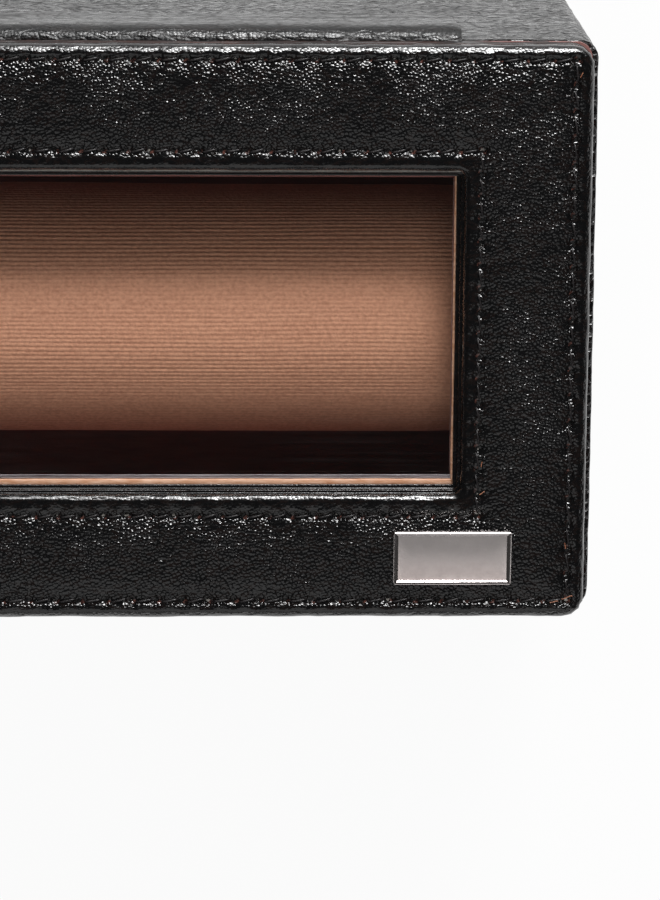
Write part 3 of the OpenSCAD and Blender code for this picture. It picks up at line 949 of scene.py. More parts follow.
@dataclass
class LidCover:
    """The leather on the lid, rolled over the edges and down into the window."""

    outline: Outline = Outline(148.5, -57.5, 57.1, 4.2)
    window: Outline = WINDOW
    # How far in and how high each step of the layered lip is, below its roll.
    layers: tuple[Point, ...] = (
        (1.37, 76.3), (1.38, 75.95), (1.42, 75.86), (1.5, 75.82), (1.6, 75.81), (1.8, 75.81),
        (1.9, 75.78), (1.97, 75.71), (2.0, 75.6), (2.01, 75.4), (2.02, 75.0), (2.04, 74.75),
        (2.1, 74.66), (2.2, 74.63), (2.35, 74.63), (2.55, 74.63), (2.66, 74.6), (2.73, 74.53),
        (2.77, 74.42), (2.78, 74.2), (2.78, 74.0),
    )
    # How far out each line of the painted edge is, and how far above its foot.
    strata: tuple[Point, ...] = (
        (-0.15, 0.12), (-0.02, 0.35), (0.0, 1.3), (-0.2, 1.5), (-0.02, 1.7), (0.02, 2.6),
        (-0.22, 2.8), (-0.06, 3.0), (-0.05, 3.8),
    )
    # Where each loose end of thread starts, its turn in radians and its length.
    ends: tuple[tuple[float, float, float, float], ...] = (
        (145.2, -53.2, 0.25, 2.3), (142.6, -54.1, 0.05, 1.7), (144.6, -42.6, 1.5, 1.2),
        (145.9, 51.6, 0.9, 1.1), (127.7, -26.0, 1.2, 1.0), (127.9, -31.8, 0.4, 1.2),
    )
    top: float = 78.0
    edge_r: float = 2.2
    lip_r: float = 2.2
    lip_roll: float = 1.35
    turned_in: float = 74.9
    liner_top: float = 73.8
    board_top: float = 76.8
    foot: float = 70.8
    outer_row: StitchRow = StitchRow(145.1, -53.9, 54.35, 5.1, 3)
    window_row: StitchRow = StitchRow(126.9, -36.65, 36.5, 4.6, 17, -1)
    step: float = 0.70

    def rings(self, obj: Piece, form: Outline, sign: float, steps: Sequence[Point]) -> None:
        """Extrudes the open edge that lies on an outline at the top, again and again.

        Args:
            obj: the piece in edit mode.
            form: the outline.
            sign: 1 to grow away from the outline's middle, -1 towards it.
            steps: how far out and how high each new ring is.
        """
        bpy.ops.mesh.select_all(action="DESELECT")
        pick_edges(obj, lambda *ends: all(abs(p.z - self.top) <= NEAR and form.holds(p) for p in ends))
        before = 0.0
        for out, z in steps:
            bpy.ops.mesh.extrude_edges_move()
            mesh = bmesh.from_edit_mesh(obj.data)
            ring = [v for v in mesh.verts if v.select]
            at = np.array([v.co for v in ring]) / MM
            at[:, :2] += form.away(at[:, 0], at[:, 1]) * sign * (out - before)
            at[:, 2] = z
            for v, co in zip(ring, at * MM):
                v.co = co
            bmesh.update_edit_mesh(obj.data)
            before = out

    def flat(self, outer: Outline, inner: Outline) -> Piece:
        """The flat top with its window cut out, rounded at its corners."""
        r, step = outer.radius, self.step
        fine = r / 4
        across = [-outer.x, r - outer.x, -inner.x, inner.x, outer.x - r, outer.x]
        down = [outer.y0, outer.y0 + r, inner.y0, inner.y1, outer.y1 - r, outer.y1]
        columns = spaced(across, [fine, step, step, step, fine])
        obj = sheet("lid_cover", columns, spaced(down, [fine, 0.5, step, 0.5, fine]))
        with editing(obj):
            pick_faces(obj, lambda c, n: abs(c.x) < inner.x and inner.y0 < c.y < inner.y1)
            bpy.ops.mesh.delete(type="FACE")
        at = points(obj)
        for form in (outer, inner):
            r = form.radius
            for sx, sy in ((-1, -1), (-1, 1), (1, -1), (1, 1)):
                y_edge = form.y1 if sy > 0 else form.y0
                a = sx * at[:, 0] - (form.x - r)
                b = sy * (at[:, 1] - y_edge) + r
                held = (a > 0) & (b > 0) & (a <= r + NEAR) & (b <= r + NEAR)
                if form is inner:
                    held &= np.maximum(a, b) > r - NEAR
                share = rounded(a, b, held)
                at[:, 0] = sx * (form.x - r + a * share)
                at[:, 1] = y_edge + sy * (b * share - r)
        at[:, 2] = self.top
        place(obj, at)
        return obj

    def build(self) -> Piece:
        """Models the cover, closed all round, with its relief."""
        outer, inner = self.outline.grown(-self.edge_r), self.window.grown(self.lip_r)
        e, tuck, board = self.edge_r, self.turned_in, self.board_top
        edge_bends = ((30, 0.80, 3), (43, 1.10, 4), (90, 0.85, 5))
        lip_bends = ((30, 0.8, 2), (43, 1.15, 4), (90, 1.05, 5))
        over = [(out, self.top - down) for out, down in rolled(edge_bends, e)]
        over += [(e, 75.4), (e - 0.12, 75.05), (e - 0.45, tuck), (e - 1.15, tuck), (e - 1.2, board)]
        into = [(out, self.top - down) for out, down in rolled(lip_bends, self.lip_roll)]
        into += [*self.layers, (2.6, self.liner_top), (0.05, self.liner_top), (0.0, board)]
        obj = self.flat(outer, inner)
        with editing(obj):
            self.rings(obj, outer, 1.0, over)
            self.rings(obj, inner, -1.0, into)
            bpy.ops.mesh.select_all(action="DESELECT")
            pick_edges(obj, lambda a, b: abs(a.z - board) + abs(b.z - board) < NEAR)
            bpy.ops.mesh.fill(use_beauty=False)
        tidy_shell(obj)
        self.sculpt(obj)
        smooth(obj, 75)
        return obj

    def sculpt(self, obj: Piece) -> None:
        """Gives the leather its stitched channels, humps, wrinkles and wavy edges."""
        at, facing = points(obj), normals(obj)
        x, y, z = at.T
        edge, lip = -self.outline.outside(x, y), self.window.outside(x, y)
        up = ease((facing[:, 2] - 0.2) / 0.6) * (z > 75.5)
        h1, near1 = self.outer_row.press(x, y)
        h2, near2 = self.window_row.press(x, y)
        pillow = 0.36 * np.sin(np.pi * np.clip((edge - 3.2) / 17.6, 0, 1)) ** 0.8
        tx, ty = x * 0.94 + y * 0.34, y * 0.94 - x * 0.34
        skin = 0.07 * noise(x / 4.4, y / 3.0, 21) + 0.02 * noise(x / 1.6, y / 1.2, 22)
        skin -= 0.07 * creases(tx / 8.5, ty / 2.1, 0.16, 31) * ease(noise(x / 17, y / 11, 35) + 0.6)
        skin -= 0.05 * creases(x / 13, y / 2.6, 0.12, 41) * ease(noise(x / 23, y / 9, 45) + 0.4)
        smooth_lip = bell(np.maximum(lip - 3.3, 0), 0.7) * (lip > -0.5)
        smooth_edge = bell(np.maximum(edge - 1.9, 0), 0.5)
        calm = np.clip(1 - 0.85 * smooth_lip - 0.6 * smooth_edge, 0, 1)
        rise = up * (pillow + skin * calm + h1 + h2)
        side = (1 - up) * (z > 73.85) * (z < 77.99)
        wave = 0.10 * noise((x + y) / 4.3, z / 3.0, 51) + 0.05 * noise((x - y) / 1.7, z / 1.2, 52)
        along = x + 1.7 * y
        wall = (lip < 1.0) & (z > 73.9) & (z < 76.6)
        folds = 0.04 * noise(along / 15, z / 0.9, 62) + 0.02 * noise(along / 2.5, z / 0.5, 63)
        rise += side * np.where(wall, folds, wave + self.pleats(x, y) * (z > 75))
        rise += 0.05 * noise(along / 2.2, (lip + z) / 0.9, 65) * (lip < 2.2) * (lip > 0.2)
        rise += 0.04 * noise((x - y) / 2.4, (edge + z) / 0.9, 66) * (edge < 2.2)
        place(obj, at + facing * rise[:, None])
        sleek = np.maximum(0.9 * smooth_lip, 0.9 * smooth_edge) + side * 0.8
        mark(obj, "smoothed", np.clip(sleek - 0.3 * np.maximum(near1, near2), 0, 1))

    def pleats(self, x: np.ndarray, y: np.ndarray) -> np.ndarray:
        """The small folds where the leather goes round the lid's corners."""
        o = self.outline
        cx = np.abs(x) - (o.x - o.radius)
        cy = np.abs(y - o.middle) - ((o.y1 - o.y0) / 2 - o.radius)
        turn = np.arctan2(np.maximum(cy, 1e-6), np.maximum(cx, 1e-6))
        return np.where((cx > 0) & (cy > 0), 0.13 * np.cos(turn * 16 + np.sign(x) * 2), 0.0)

    def stitching(self) -> Piece:
        """The thread of both rows, each stitch dipping into its holes."""
        rod = bpy.ops.mesh.primitive_cylinder_add
        one = started("one_stitch", rod, vertices=8, radius=1, depth=2, end_fill_type="TRIFAN")
        with editing(one):
            for k in range(1, 6):
                bpy.ops.mesh.select_all(action="SELECT")
                bpy.ops.mesh.bisect(plane_co=(0, 0, k / 3 - 1), plane_no=(0, 0, 1))
        a, b, along = (points(one) * MM).T
        round_end = np.sqrt(np.clip(1 - (np.abs(along) * 0.98) ** 6, 0.05, 1))
        swell = 1 + 0.12 * np.cos(along * 9 + a)
        wide = a * 0.21 * round_end * swell + 0.10 * np.sin(along * 1.6)
        high = b * 0.18 * round_end * swell - 0.42 * along**4
        place(one, np.column_stack([along * 1.72, wide, high]))
        smooth(one, 60)
        parts = []
        for row in (self.outer_row, self.window_row):
            for middle, way, step, number in row.stitches():
                skew = 0.06 * math.sin(number * 2.4)
                turn = math.atan2(way.y, way.x) + 0.11 + skew
                there = Matrix.Translation((middle.x, middle.y, self.top - 0.24))
                there = there @ Matrix.Rotation(turn, 4, "Z")
                longer = Matrix.Diagonal((step / self.outer_row.pitch, 1, 1, 1))
                parts.append(copied(one, there @ longer))
        drop(one)
        return join("lid_stitching", parts)

    def thread_ends(self) -> Piece:
        """A few short ends of paler thread that show beside the rows."""
        rod, thick, parts = bpy.ops.mesh.primitive_cylinder_add, 0.095 * MM, []
        for x, y, turn, length in self.ends:
            size = {"vertices": 6, "radius": thick, "depth": length * MM}
            end = started("thread_end", rod, end_fill_type="TRIFAN", **size)
            with editing(end):
                bpy.ops.mesh.select_all(action="SELECT")
                bpy.ops.mesh.subdivide(number_cuts=3)
            a, b, along = points(end).T
            across, high = a + 0.12 * np.sin(along * 2.2), b + 0.05 * along**2
            c, s = math.cos(turn), math.sin(turn)
            there = (x + along * c - across * s, y + along * s + across * c, self.top + 0.12 + high)
            place(end, np.column_stack(there))
            parts.append(end)
        return join("lid_thread_ends", parts)

    def painted_edge(self) -> Piece:
        """The stacked, painted edge under the rolled leather."""
        lo, hi = self.foot, self.turned_in
        profile = [(out, lo + up) for out, up in self.strata]
        profile += [(-0.3, hi), (-1.1, hi), (-1.1, lo), (-0.35, lo)]
        obj = band("lid_painted_edge", self.outline, profile, 1.3)
        at, facing = points(obj), normals(obj)
        x, y, z = at.T
        wave = 0.09 * noise((x + y) / 5, z / 1.2, 71) + 0.05 * noise((x - y) / 1.9, z / 0.8, 72)
        place(obj, at + facing * (wave * (np.abs(facing[:, 2]) < 0.7))[:, None])
        smooth(obj, 50)
        return obj


@dataclass
class WindowTrim:
    """The tan strip in the window and the thin pale layer under it."""

    window: Outline = WINDOW
    show: float = 1.5
    show_end: float = 0.95
    show_back: float = 0.6
    hidden: float = 1.2
    low: float = 73.0
    high: float = 73.8
    edging_show: float = 0.78
    edging_high: float = 0.24
    line: float = 0.30

    def liner(self) -> Piece:
        """The tan strip, its inner edge burnished round."""
        inner, hidden, lo, hi = -self.show, self.hidden, self.low, self.high
        profile = [(inner + 0.18, lo + 0.02), (inner + 0.03, lo + 0.2), (inner, lo + 0.42)]
        profile += [(inner + 0.06, hi - 0.14), (inner + 0.26, hi - 0.02), (inner + 0.75, hi)]
        profile += [(hidden, hi - 0.03), (hidden, lo + 0.02)]
        obj = band("window_trim", self.window, profile, 1.4)
        at, facing = points(obj), normals(obj)
        x, y, z = at.T
        at = at + facing * (0.05 * noise((x + y) / 3.0, z * 2, 81))[:, None]
        ends = ease((np.abs(x) - self.window.x + self.show + 0.9) / 0.8)
        at[:, 0] += np.sign(x) * ends * (self.show - self.show_end)
        at[:, 1] += (self.show - self.show_back) * ease((y - 20) / 6)
        place(obj, at)
        smooth(obj, 50)
        return obj

    def edging(self) -> Piece:
        """The thin pale layer under the tan strip, which shows as a line of its own."""
        inner = -self.show - self.edging_show
        lo, hi = self.low + 0.01, self.low + self.edging_high
        profile = [(inner + 0.05, lo), (inner, lo + 0.1), (inner + 0.08, hi - 0.03), (inner + 0.25, hi)]
        profile += [(inner + 0.36, hi - 0.07), (inner + 0.5, hi), (inner + 0.72, hi - 0.04)]
        profile += [(0.9, hi - 0.02), (0.9, lo)]
        obj = band("window_edging", self.window, profile, 1.1)
        at, middle = points(obj), self.window.middle
        x, y, z = at.T
        at[:, 2] += np.where(z > lo + 0.12, 0.05 * noise((x + 1.7 * y) / 3.0, y * 2.2, 86), 0)
        # Where across the edge each point lies, in stripe widths; the finish paints its bright and dark
        # lines from this, partly as painted highlight and shade.
        stripe = (np.abs(y - middle) - self.window.y1 + middle - inner) / self.line
        at[:, 0] += np.sign(x) * (self.show + 0.5) * ease((np.abs(x) - self.window.x + 3.8) / 0.8)
        at[:, 1] += (self.show + 0.5) * ease((y - 20) / 6)
        place(obj, at)
        mark(obj, "stripe", stripe)
        smooth(obj, 60)
        return obj


@dataclass
class Badge:
    """The small plated plate, its bare field sunk inside a bevelled rim."""

    centre: Point = (122.2, -44.95)
    length: float = 23.5
    width: float = 11.0
    base: float = 78.0
    height: float = 1.1
    corner: float = 0.8
    crown: float = 0.34
    # How far in and how far up each step of the rim goes, and then the field's own rings.
    steps: tuple[Point, ...] = ((0.34, 0.0), (0.14, 0.0), (0.34, -0.25), (0.14, -0.20))
    rings: tuple[Point, ...] = ((0.72, 0.0),) * 5

    def build(self) -> Piece:
        """Models the plate from a block: round corners, an inset rim and a sunk field."""
        x, y = self.centre
        where = (x * MM, y * MM, (self.base + self.height / 2) * MM)
        size = (self.length * MM, self.width * MM, self.height * MM)
        block = bpy.ops.mesh.primitive_cube_add
        obj = started("badge", block, size=1, location=where, scale=size)
        with editing(obj):
            pick_faces(obj, lambda c, n: n.z > 0.9)
            inset([*self.steps, *self.rings])
            bpy.ops.mesh.select_all(action="DESELECT")
            pick_edges(obj, lambda a, b: abs(a.z - b.z) > 0.9)
            bpy.ops.mesh.bevel(offset=self.corner * MM, segments=4, affect="EDGES")
        at = points(obj)
        top = np.abs(at[:, 2] - self.base - self.height) < NEAR
        rx = np.abs(at[:, 0] - x) > self.length / 2 - 0.1
        ry = np.abs(at[:, 1] - y) > self.width / 2 - 0.1
        at[top & (rx | ry), 2] -= 0.25
        reach = self.width / 2 - 0.96
        across = (at[:, 1] - y) / reach
        field = (at[:, 2] > self.base + 0.3) & (at[:, 2] < self.base + self.height - 0.4)
        # The field's crown lies behind its middle, and falls off further in front of it.
        front = 1 - (np.clip(0.3 - across, 0, 1.3) / 1.3) ** 2
        back = 1 - 0.4 * (np.clip(across - 0.3, 0, 0.7) / 0.7) ** 2
        domed = self.crown * np.where(across < 0.3, front, back)
        at[:, 2] += np.where(field & (np.abs(across) < 1), domed - 0.1, 0)
        place(obj, at)
        soften(obj, 0.07, 2, 28)
        at = points(obj)
        inside = np.abs(at[:, 0] - x) < self.length / 2 - 1.0
        inside &= np.abs(at[:, 1] - y) < reach + 0.02
        dull = 0.50 + 0.50 * ease((0.7 - (at[:, 1] - y) / reach) / 1.5)
        mark(obj, "satin", (inside & (at[:, 2] > self.base + 0.3)) * dull)
        smooth(obj, 30)
        return obj


# ---------------------------------------------------------------- the case


@dataclass
class CaseCover:
    """The leather round the four walls, turned over the rim and under the base."""

    outline: Outline = Outline(150.0, -57.5, 57.5, 4.0)
    low: float = 1.2
    high: float = 70.8
    thick: float = 1.2
    turn_r: float = 0.6
    step: float = 1.0

    def build(self) -> Piece:
        """Wraps the strip round the walls."""
        r, low, high = self.turn_r, self.low, self.high
        profile = arc((-r, low + r), r, -90, 0, 4)
        profile += ladder((0, low + r), (0, high - r), 72)
        profile += arc((-r, high - r), r, 0, 90, 5)
        profile += [(-self.thick, z) for z in (high, (low + high) / 2, low)]
        obj = band("case_cover", self.outline, profile, self.step)
        self.sculpt(obj)
        smooth(obj, 60)
        return obj

    def sculpt(self, obj: Piece) -> None:
        """Wrinkles and slight waves in the wrapped leather."""
        at, facing = points(obj), normals(obj)
        x, y, z = at.T
        wide, deep = 2 * self.outline.x, 2 * self.outline.y1
        outside = (-self.outline.outside(x, y) < 1.1).astype(float)
        # The way round the walls. It jumps at the left back corner, where the relief fades out.
        sides = [(y >= 0) & ((x >= 0) | (y > 56)), (x > 0) & (y < 0)]
        u = np.select(sides, [x - y, wide - x - y], wide + deep - x + y)
        skin = 0.16 * noise(u / 11, z / 6, 101) + 0.09 * noise(u / 4, z / 2.4, 102)
        skin -= 0.16 * creases(u / 15, z / 3.0, 0.15, 103) * ease(noise(u / 28, z / 17, 104) + 0.6)
        skin -= 0.10 * creases((u + 0.4 * z) / 6, (z - 0.3 * u) / 4, 0.12, 105)
        skin *= np.where(y > 57.0, 1.0, 0.6)
        skin *= 1 - bell(np.hypot(x + 149, y - 56.5), 5.0)
        place(obj, at + facing * ((skin - 0.12) * outside)[:, None])
        mark(obj, "smoothed", np.clip(0.7 * bell(z - self.high, 1.2), 0, 1))


@dataclass
class HingeStrip:
    """One strip of leather from the back wall, over the gap and in under the lid."""

    half: float = 123.0
    low: float = 42.8
    rim: float = 70.8
    thick: float = 1.0
    pared: float = 0.4
    flap: float = 14.0
    corner: float = 5.5
    # How far back and how high the strip runs, from the wall to the end under the lid.
    path: tuple[Point, ...] = (
        (58.5, 42.8), (58.5, 50.0), (58.75, 55.0), (59.2, 60.0), (59.6, 64.0), (59.85, 66.8),
        (59.85, 68.2), (59.6, 69.4), (59.1, 70.3), (58.4, 70.95), (57.6, 71.4), (56.8, 71.7),
        (56.0, 71.8), (43.0, 71.8),
    )

    def eased(self) -> tuple[np.ndarray, np.ndarray, np.ndarray]:
        """The path with soft bends.

        Returns:
            How far along each of its places is, the places, and the directions there.
        """
        line = np.array(self.path)
        legs = np.concatenate([[0], np.cumsum(np.linalg.norm(np.diff(line, axis=0), axis=1))])
        way = np.linspace(0, legs[-1], 400)
        soft = np.column_stack([np.interp(way, legs, line[:, k]) for k in (0, 1)])
        for _ in range(30):
            soft[1:-1] = (soft[:-2] + 2 * soft[1:-1] + soft[2:]) / 4
        slope = np.gradient(soft, axis=0)
        return way, soft, slope / np.linalg.norm(slope, axis=1)[:, None]

    def build(self) -> Piece:
        """Cuts the strip flat, rounds its corners and folds it over the rim."""
        half, corner = self.half, self.corner
        fall, fold = self.rim - self.low, math.pi * 0.5 * self.thick
        total = fall + fold + self.flap
        columns = spaced([-half, corner - half, half - corner, half], [0.7, 1.0, 0.7])
        rows = spaced([0, corner, fall, fall + fold, total], [0.7, 0.8, 0.2, 1.0])
        obj = sheet("hinge_strip", columns, rows)
        u, v, _ = points(obj).T
        for side in (-1, 1):
            a, b = side * u - (half - corner), corner - v
            share = rounded(a, b, (a > 0) & (b > 0))
            u, v = side * (half - corner + a * share), corner - b * share
        wave = 0.07 * noise(u / 6, v / 3, 121) - 0.09 * creases(u / 22, v / 1.8, 0.14, 122)
        wave -= 0.34 * bell(half - np.abs(u), 0.75)
        fine = 0.05 * noise(u / 2.2, v / 1.1, 123)
        wave += fine + 0.05 * noise(u / 1.1 + v / 2, v / 2.6, 127) * bell(v - fall, 3.2)
        way, soft, slope = self.eased()
        here = v / total * way[-1]
        y, z = np.interp(here, way, soft[:, 0]), np.interp(here, way, soft[:, 1])
        out = wave * np.clip((self.path[-2][0] + 0.6 - y) / -0.8, 0, 1)
        y = y + np.interp(here, way, slope[:, 1]) * out
        z = z - np.interp(here, way, slope[:, 0]) * out
        place(obj, np.column_stack([u, y, z]))
        tidy_shell(obj)
        if normals(obj)[np.argmin(np.abs(v - fall / 2)), 1] < 0:
            with editing(obj):
                bpy.ops.mesh.select_all(action="SELECT")
                bpy.ops.mesh.flip_normals()
        modify(obj, "SOLIDIFY", thickness=(self.thick - self.pared) * MM, offset=-1.0)
        at = points(obj)
        edge = bell(half - np.abs(at[:, 0]), 0.5) + bell(at[:, 2] - self.low, 0.5)
        mark(obj, "smoothed", np.clip(0.25 + 0.6 * edge, 0, 1))
        smooth(obj, 50)
        return obj


# ---------------------------------------------------------------- the roll


@dataclass
class WatchRoll:
    """The padded roll in its ribbed cover, with a cloth-covered disc at each end."""

    y: float = -2.3
    z: float = 39.5
    radius: float = 23.5
    half: float = 128.3
    round_r: float = 3.0
    cover_t: float = 0.9
    ribs: int = 166
    oval: float = 2.0
    seam_stitches: int = 60
    cap_r: float = 19.5
    cap_end: float = 131.3
    spigot_r: float = 9.0
    spigot_end: float = 141.6
    frames: int = 20
    swell_cap: float = 0.9

    def drum(self, name: str, sides: int, radius: float, x: float, length: float) -> Piece:
        """A drum that lies on the roll's axis, its middle at x."""
        size = {"vertices": sides, "radius": radius * MM, "depth": length * MM}
        where, turn = (x * MM, self.y * MM, self.z * MM), (0, math.pi / 2, 0)
        rod = bpy.ops.mesh.primitive_cylinder_add
        return started(name, rod, location=where, rotation=turn, **size)

    def stuffed(self) -> BVHTree:
        """Blows a plain bolster up under its cloth and returns its skin."""
        form = self.drum("roll_form", 64, self.radius - 0.7, 0, 2 * (self.half - 0.5))
        with editing(form):
            pick_edges(form, lambda a, b: abs(a.x) > 120 and abs(a.x - b.x) < 1)
            bpy.ops.mesh.bevel(offset=self.round_r * MM, segments=3, affect="EDGES")
        form.data.remesh_voxel_size = 4.5 * MM
        make_active(form)
        bpy.ops.object.voxel_remesh()
        self.blow_up(form)
        modify(form, "SUBSURF", levels=1, render_levels=1)
        faces = [p.vertices for p in form.data.polygons]
        tree = BVHTree.FromPolygons([v.co for v in form.data.vertices], faces)
        drop(form)
        return tree

    def blow_up(self, form: Piece) -> None:
        """Lets the cloth swell, no point further than the cap."""
        start = points(form)
        cloth = form.modifiers.new("Cloth", "CLOTH")
        cloth.settings.use_pressure = True
        cloth.settings.uniform_pressure_force = 4.0
        cloth.settings.effector_weights.gravity = 0.0
        cloth.settings.quality = 5
        cloth.point_cache.frame_start, cloth.point_cache.frame_end = 1, self.frames
        scene = bpy.context.scene
        for f in range(1, self.frames + 1):
            scene.frame_set(f)
        bpy.ops.object.modifier_apply(modifier=cloth.name)
        scene.frame_set(1)
        moved = points(form) - start
        far = np.maximum(np.linalg.norm(moved, axis=1), 1e-9)
        place(form, start + moved * np.minimum(1.0, self.swell_cap / far)[:, None])

    def cover(self) -> Piece:
        """The ribbed cloth, laid on the stuffed form, with its seam underneath."""
        r, half, bend = self.radius, self.half, self.round_r
        inner = r - self.cover_t
        flat = [(x, r) for x in np.linspace(bend - half, half - bend, 84)]
        end = [(half - bend + out, r - bend + up) for out, up in arc((0, 0), bend, 75, 0, 5)]
        first = len(flat) + len(end)
        end += [(half, 18.6), (half - 1.0, 17.7), (half - 3.0, inner - 3), (half - 6, inner - 0.2)]
        line = np.array([*flat, *end, *((-x, up) for x, up in reversed(end)), flat[0]])
        around = self.ribs * 5
        obj = sheet("roll_cover_ribbed", np.arange(around + 1.0), np.arange(len(line) + 0.0))
        at = points(obj)
        k, row = np.rint(at[:, 0]), np.rint(at[:, 1]).astype(int)
        turn = 2 * math.pi * k / around
        x, reach = line[row, 0], line[row, 1].copy()
        shown = (reach > 18.0) & ((row < first) | (row > first + 6))
        tree, core = self.stuffed(), half - bend - 2
        unit = np.column_stack([np.zeros(len(turn)), np.sin(turn), -np.cos(turn)])
        full = np.full(len(turn), r - 0.2)
        for i in np.nonzero(shown & (np.abs(x) <= half - bend + 0.5))[0]:
            origin = Vector((max(-core, min(core, x[i])) * MM, self.y * MM, self.z * MM))
            hit = tree.ray_cast(origin, Vector(unit[i]))[0]
            if hit is not None:
                full[i] = (hit - origin).length / MM
        lean = ease(np.clip((half - np.abs(x)) / bend, 0, 1))
        phase = turn * self.ribs / (2 * math.pi) + 0.22 * noise(x / 26, turn * 4, 131)
        cord = 1 - (2 * np.abs(phase - np.floor(phase) - 0.5)) ** 2.2
        slub = 0.03 * noise(x / 3.5, phase * 1.7, 132)
        swell = (full - (r - 0.2)) * lean
        seam = bell(np.minimum(turn, 2 * math.pi - turn) * r, 1.1)
        pucker = 0.25 * seam * np.cos(x * 2 * math.pi / 4.0)
        ribbed = (0.15 * (cord - 0.75) + slub) * (0.35 + 0.65 * lean)
        lift = swell * 0.8 + ribbed - 0.55 * seam + pucker * 0.4
        lift += 0.18 * noise(x / 38, turn * 1.3, 133)
        sag = (0.3 + self.oval * np.sin(turn) ** 2) * (0.3 + 0.7 * lean)
        reach = np.where(shown, reach + (np.minimum(lift, 0.35) + sag), reach)
        place(obj, np.column_stack([x, self.y + unit[:, 1] * reach, self.z + unit[:, 2] * reach]))
        # The cord number also sets the cloth's colour, painting shade into the grooves between cords; on the
        # turned-in ends it is scaled down, so they come out a little darker.
        mark(obj, "cord", cord * np.where(shown, 1, 0.6))
        tidy_shell(obj)
        smooth(obj, 80)
        return obj

    def seam(self) -> Piece:
        """The stitches that close the cover along its underside."""
        ball = bpy.ops.mesh.primitive_uv_sphere_add
        one = started("one_seam_stitch", ball, segments=8, ring_count=6, radius=1 * MM)
        x, y, z = points(one).T
        high = z * 0.22 + 0.12 * (1 - x**2)
        place(one, np.column_stack([x * 1.35, y * 0.26 + 0.2 * x, high]))
        smooth(one, 70)
        count, low = self.seam_stitches, self.z - self.radius + 0.62
        step = 2 * (self.half - 6) / count
        where = [((k + 0.5 - count / 2) * step, self.y, low) for k in range(count)]
        parts = [copied(one, Matrix.Translation(middle)) for middle in where]
        drop(one)
        return join("roll_seam", parts)

    def cap(self, side: int) -> Piece:
        """One end: a padded disc with a piped rim, and the spigot that lies in the cradle.

        Args:
            side: -1 for the left end, 1 for the right.

        Returns:
            The closed piece.
        """
        name = "roll_end_left" if side < 0 else "roll_end_right"
        obj = self.drum(name, 96, self.cap_r, self.cap_end - 1.5, 3.0)
        neck = self.cap_r - 0.7 - 1.1 - 0.8 - 4 * 1.8 - self.spigot_r
        grow = self.spigot_end - self.cap_end
        with editing(obj):
            pick_faces(obj, lambda c, n: n.x > 0.9)
            inset([(0.7, 0.0), (1.1, -0.25), (0.8, 0.25), *((1.8, 0.0),) * 4, (neck, 0.0)])
            inset([(0.25, 0.6), (0.0001, grow / 2 - 0.6), (0.0001, grow / 2), (0.8, 0.0), (3.0, -0.1)])
        soften(obj, 0.35, 3, 40)
        at = points(obj)
        away = np.hypot(at[:, 1] - self.y, at[:, 2] - self.z)
        turn = np.arctan2(at[:, 2] - self.z, at[:, 1] - self.y)
        face = (at[:, 0] > self.cap_end - 0.5) & (away > self.spigot_r + 0.4)
        pull = np.clip((away - self.spigot_r) / (self.cap_r - self.spigot_r), 0, 1)
        gathered = -0.30 * pull**3 + 0.10 * np.cos(turn * 24) * np.sin(np.pi * pull)
        at[:, 0] += np.where(face, gathered, 0)
        if side < 0:
            at[:, 0] *= -1
        place(obj, at)
        tidy_shell(obj, 0.0005)
        smooth(obj, 35)
        return obj


# ---------------------------------------------------------------- studio


